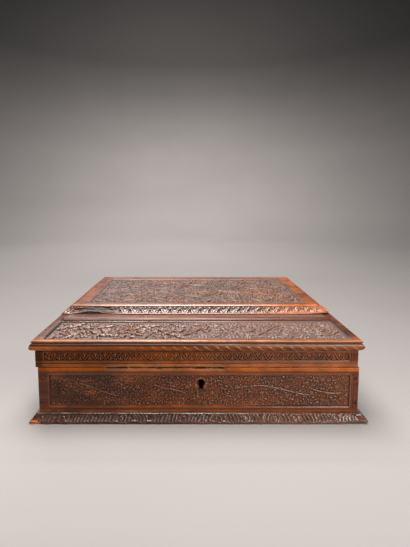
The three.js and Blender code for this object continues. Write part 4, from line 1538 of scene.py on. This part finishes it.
# Centre from the middle of the flap, radius, start angle and sense of each scroll
FLAP_SCROLLS = (
    ((58, 33), 22, 200, 1),
    ((105, 36), 23, 160, -1),
    ((142, 26), 15, 120, -1),
    ((16, 55), 11, 0, -1),
)
FLAP_STEMS = (
    ((37, 4), (52, 6), (72, 10), (84, 20), (86, 40)),
    ((84, 16), (104, 8), (126, 6), (150, 5)),
)
FLAP_SIZES = (
    (7.0, Carving.small_leaf),
    (5.2, Carving.small_leaf),
    (3.8, Carving.small_leaf),
    (2.6, Carving.small_leaf),
    (1.6, Carving.small_dot),
)


def flap_carving(face, area):
    """A round medallion in the middle, with four-fold scrolls round it."""
    x0 = (area[0] + area[1]) / 2
    y0 = (area[2] + area[3]) / 2
    rng = np.random.default_rng(71)
    face.field(area, GROUND.flap)
    face.roundness = 0.75
    face.outlines = 0.7
    face.ring(x0, y0, MEDALLION.outer, 3.6)
    face.ring(x0, y0, MEDALLION.inner, 2.0)
    for angle in turns(MEDALLION.dots):
        between = (MEDALLION.outer + MEDALLION.inner) / 2
        face.dot(*around((x0, y0), between, angle), MEDALLION.dot)
    for angle in turns(MEDALLION.leaves):
        face.leaf(*around((x0, y0), 8, angle), angle, MEDALLION.leaf, 8.5, 0, 3)
    face.flower(x0, y0, MEDALLION.flower, 8)
    for sx, sy in ((-1, -1), (-1, 1), (1, -1), (1, 1)):
        for (x, y), radius, start, turn in FLAP_SCROLLS:
            centre = (x0 + sx * x, y0 + sy * y)
            first = sy * (start if sx > 0 else 180 - start)
            line = spiral(centre, radius, first, turn * sx * sy, 400, 0.4)
            face.leafy(line, SCROLL.stem, SCROLL.leaf, SCROLL.spacing, rng, SCROLL.lobes)
            face.flower(*centre, SCROLL.flower, SCROLL.petals, 0.3)
        for knots in FLAP_STEMS:
            line = smooth_curve([(x0 + sx * x, y0 + sy * y) for x, y in knots])
            face.leafy(line, SCROLL.stem, 13.0, 10.5, rng, SCROLL.lobes)
    face.fill(inset(area, 1.6), FLAP_SIZES, rng, 1500)


def make_flap_panel():
    low, high = extent("flap_panel")
    left, right = low[0] + FLAP_BORDER.side, high[0] - FLAP_BORDER.side
    foot, top = low[1] + FLAP_BORDER.front, high[1] - FLAP_BORDER.back
    area = (left, right, foot, top)
    face = Face(low, high, "top", (left - 4, right + 4), (foot - 4, top + 4))
    flap_carving(face, area)
    blotch = face.noise(38, 11, 77) + 0.5 * face.noise(13, 5, 79)
    face.rubbed += 0.3 * soft_step(blotch / 0.8)
    face.rubbed += 0.25 * bell(face.u - 100, 32) * bell(face.v - 30, 20)
    face.add(grime=0.55, polish=-0.6, dust=-0.05)
    face.add(np.clip(-blotch, 0, 1), grime=0.25)
    face.line_round(inset(area, -2.0), 0.8, 0.4)
    face.rub(low[0] - 5, left - 2, low[1] - 5, high[1] + 5, 0.4)
    face.rub(right + 2, high[0] + 5, low[1] - 5, high[1] + 5, 0.5)
    face.rub(low[0] - 5, high[0] + 5, low[1] - 5, foot - 2, 0.35, 1.5)
    face.rub(low[0] - 5, high[0] + 5, top + 2, high[1] + 5, 0.3)
    aside = soft_step((left - face.u) / 2) + soft_step((face.u - right) / 2)
    face.add(aside, grime=0.2, dust=-0.3)
    wooden("flap_panel", face, 221, "carved")


def ledge_outline():
    reach, height, upper = LEDGE.projection, LEDGE.height, LEDGE.upper
    knee = (reach / 2, height * 0.5)
    return np.vstack([
        [(reach, 0.0), (reach, LEDGE.lower)],
        quadratic((reach, LEDGE.lower), (reach * 0.72, height * 0.2), knee),
        quadratic(knee, (reach * 0.3, height * 0.85), (upper, height - 0.6)),
        [(upper, height), (0.3, height)],
    ])


def leaf_band(run, pitch, first, last):
    """A bold zigzag of leaves along a moulding, with a small leaf in each point."""
    run.field((run.left - 9, run.right + 9, first, last), GROUND.ledge)
    rng = np.random.default_rng(83)
    tall = last - first
    slope = math.atan2(tall, pitch / 2)
    length = math.hypot(tall, pitch / 2)
    for k in range(int((run.right - run.left) / pitch) + 1):
        x = run.left + (k + rng.uniform(0.25, 0.35)) * pitch
        size = length * rng.uniform(1.0, 1.12)
        run.leaf(x, first, slope, size, rng.uniform(5.4, 6.6), -0.12, 2)
        run.leaf(x, first, math.pi - slope, size, rng.uniform(5.4, 6.6), 0.12, 2)
        run.leaf(x, last, -math.pi / 2, 0.55 * tall, 3.0)


def broken_end(run):
    """The ledge's left end has split off. Torn grey fibres are left over a dark gap."""
    along = soft_step((run.u + 188) / 7) * soft_step((-108 - run.u) / 36)
    ragged = run.noise(8, math.inf, 3)
    torn = along * soft_step((11.6 + 1.8 * ragged - run.v) / 0.9)
    stub = torn * soft_step((-166 - run.u) / 6)
    fibres = run.noise(15, 0.8, 4) + 0.5 * run.noise(5, 0.6, 5)
    splinters = run.noise(8, 2.2, 6)
    run.fade(torn, "raised", "sunk", "polish", "rubbed")
    run.fade(0.7 * torn, "grime")
    run.cut += torn * np.clip(2.3 + 0.8 * fibres + 1.4 * splinters, 0.3, 5)
    run.raw = np.maximum(run.raw, torn - 0.85 * stub)
    run.wear(0.7 * stub * soft_step(splinters + 0.5))
    gap = soft_step((run.u + 180) / 10) * soft_step((-132 - run.u) / 16)
    run.raise_low = run.raise_low + gap * (2.9 + 1.3 * ragged)


def ledge_carving(run):
    run.roundness = 0.15
    leaf_band(run, LEDGE.pitch, *LEDGE.band)
    run.line_along(2.2, 0.9, 0.8)
    run.rub(run.left, run.right, -3, 1.3, 0.7, 0.8)
    run.rub(run.left, run.right, run.high - 1.5, run.high + 3, 0.8, 0.8)
    worn_end = soft_step((run.u - 60) / 90)
    brow = soft_step((run.v - run.high + 1.8) / 0.8)
    run.polish += (1.0 - 0.8 * worn_end) * (1 - brow) - 0.6 * brow
    run.grime += 0.45
    run.fade(0.9 * worn_end, "grime")
    run.fade(0.5 * worn_end, "sunk")
    run.add(worn_end, rubbed=0.6)
    # Outside the worn end the crests are painted paler, partly as highlights.
    run.add(1 - worn_end, dust=0.4, bleach=0.15)
    run.cut += 4.0 * soft_step((run.u - run.right + 9) / 9) ** 2
    run.raise_low = 2.5 * soft_step((run.u - 140) / 52) ** 1.5
    broken_end(run)


def make_flap_edges():
    nodes = ("flap_ledge", "flap_moulding_left")
    outline = worn_outline(ledge_outline())
    for side, run in three_runs(*nodes, LEDGE.projection, outline).items():
        if side == "front":
            ledge_carving(run)
            wooden("flap_ledge", run, 231, "carved")
            continue
        run.rub(run.left, run.right, -3, run.high + 3, 0.55)
        if side == "right":
            run.raise_low = 2.5 * soft_step((run.start + 30 - run.u) / 42)
            run.cut += 4.0 * soft_step((run.left + 9 - run.u) / 9) ** 2
        wooden(f"flap_moulding_{side}", run, 231, "smooth")


# Hardware

IRON_WORDS = ("lock", "staple", "hinge")


def forged(node):
    """A piece of iron with softened edges, from the CAD node's own shape."""
    shape = bmesh.new()
    shape.from_mesh(frame["nodes"][node].data)
    bmesh.ops.remove_doubles(shape, verts=shape.verts, dist=1e-6)
    flat = math.radians(2)
    bmesh.ops.dissolve_limit(shape, angle_limit=flat, verts=shape.verts, edges=shape.edges)
    soften(shape, 0.6, 0.18, clamp_overlap=True, profile=0.6)
    piece = shaped(f"{node}_iron", shape, finishes["iron", "x"], True)
    piece.data.set_sharp_from_angle(angle=math.radians(35))
    stand_in(piece, node)


def make_hardware():
    for node in frame["nodes"]:
        if any(word in node for word in IRON_WORDS):
            forged(node)


# Stage, camera and light

STUDIO = SimpleNamespace(middle=600, floor=1700, curve=1100, height=4200, sides=72)
# Brightness of the studio paper by its distance back plus its height, in metres, painted to
# stand in for how the light falls: brighter in front of the box and on the lower wall, darker
# behind the box and high up
PAPER_BY_PLACE = (
    (-0.3, 0.78),
    (-0.25, 0.88),
    (-0.18, 0.93),
    (-0.1, 0.86),
    (0.0, 0.78),
    (0.3, 0.67),
    (0.6, 0.64),
    (1.36, 0.83),
    (2.32, 1.03),
    (2.95, 1.03),
    (3.41, 0.92),
    (3.81, 0.66),
    (4.12, 0.36),
    (4.4, 0.19),
    (5.0, 0.15),
)
PAPER_PALE = (0.42, 0.395, 0.385)
# Place, what it is aimed at, size, power and colour of each light, in metres and watts
LIGHTS = {
    "overhead": ((-0.12, -0.05, 1.4), (0, -0.1, 0), (0.9, 0.9), 32, (1.0, 0.97, 0.95)),
    "behind": ((-0.7, 1.4, 1.3), (0, 0.05, 0.1), (1.4, 0.8), 8, (1.0, 0.96, 0.97)),
    "front": ((0.7, -0.95, 0.5), (0.12, -0.1, 0.03), (0.8, 0.6), 7, (1.0, 0.96, 0.92)),
    "wall": ((-0.2, 1.0, 1.9), (-0.2, 2.7, 0.4), (2.0, 0.5), 40, (1.0, 0.97, 0.95)),
}


def make_camera():
    data = bpy.data.cameras.new("camera")
    data.sensor_width = SENSOR
    data.lens = FOCAL_PIXELS / IMAGE[1] * SENSOR
    data.shift_x = (IMAGE[0] / 2 - PRINCIPAL_POINT[0]) / IMAGE[1]
    data.shift_y = (PRINCIPAL_POINT[1] - IMAGE[1] / 2) / IMAGE[1]
    data.clip_start = 0.01
    camera = linked("camera", data)
    camera.location = Vector(CAMERA_PLACE) * MM
    camera.rotation_euler = (math.radians(90 - CAMERA_DOWN), 0, 0)
    bpy.context.scene.camera = camera


def studio_paper():
    """Matt paper with painted light and shade: darker upwards and to the sides, most in the far
    upper left.
    """
    tree = Tree("studio_paper")
    at = tree.split("Object")
    first = PAPER_BY_PLACE[0][0]
    reach = PAPER_BY_PLACE[-1][0] - first
    side = tree.times(at["X"], at["X"])
    place = tree.plus(tree.plus(at["Y"], at["Z"]), tree.times(side, 0.2))
    place = tree.math("DIVIDE", tree.math("SUBTRACT", place, first), reach)
    ramp = tree.node("ValToRGB", Fac=place)
    stops = ramp.color_ramp.elements
    while len(stops) < len(PAPER_BY_PLACE):
        stops.new(1.0)
    for stop, (where, share) in zip(stops, PAPER_BY_PLACE):
        stop.position = (where - first) / reach
        stop.color = (*darker(PAPER_PALE, share), 1)
    # The paper is painted darker towards the sides and in the far upper left, as shade; the
    # mottle is its own unevenness.
    fade = tree.math("POWER", 0.37, tree.times(side, 0.25))
    mottle = tree.spread(tree.noise(1.5), 0.3, 0.7, 0.97, 1.03)
    upper = tree.spread(at["Z"], 0.9, 2.6, 0.0, 0.55)
    corner = tree.times(tree.spread(at["X"], -0.3, -2.0), upper)
    share = tree.times(tree.times(fade, mottle), tree.math("SUBTRACT", 1.0, corner))
    colour = tree.mix(1.0, ramp.outputs["Color"], share, "MULTIPLY")
    tree.give(Base_Color=colour, Roughness=0.9)
    return tree.material


def make_stage():
    """A pale floor that curves up into a wall all round."""
    profile = [(STUDIO.middle, 0), (STUDIO.floor, 0)]
    for a in np.linspace(-math.pi / 2, 0, 13)[1:]:
        profile.append(around((STUDIO.floor, STUDIO.curve), STUDIO.curve, a))
    profile.append((STUDIO.floor + STUDIO.curve, STUDIO.height))
    rings = [[(0, 0, 0)]]
    for radius, z in profile:
        rings.append([(*around((0, 0), radius, a), z) for a in turns(STUDIO.sides)])
    studio = shaped("studio", stacked(rings)[0], studio_paper(), True)


def add_light(name, place, target, size, power, colour):
    data = bpy.data.lights.new(name, "AREA")
    data.shape = "RECTANGLE"
    data.size, data.size_y = size
    data.energy = power
    data.color = colour
    light = linked(name, data)
    light.location = place
    aim = Vector(target) - Vector(place)
    light.rotation_euler = aim.to_track_quat("-Z", "Y").to_euler()
    light.visible_camera = False


def make_lights():
    for name, light in LIGHTS.items():
        add_light(name, *light)
    world = bpy.data.worlds.new("world")
    world.use_nodes = True
    background = world.node_tree.nodes["Background"]
    background.inputs["Color"].default_value = (0.75, 0.72, 0.70, 1)
    background.inputs["Strength"].default_value = 0.15
    bpy.context.scene.world = world
    bpy.context.scene.view_settings.view_transform = "Standard"


make_camera()
make_stage()
make_lights()
make_front_board()
make_side_board("left", 23)
make_side_board("right", 29)
plain_board("back_board", "back", "smooth", 301, 0.25)
plain_board("bottom_board", "top", "inner", 307)
make_base_mouldings()
make_pegs()
make_lid_front_rail()
make_lid_side_rail("left", 43)
make_lid_side_rail("right", 47)
plain_board("lid_back_rail", "back", "smooth", 311, 0.25)
plain_board("lid_floor", "top", "inner", 313)
make_front_strip()
make_rear_strip()
make_rope_mouldings()
make_sill_bead()
make_flap_panel()
make_flap_edges()
make_hardware()
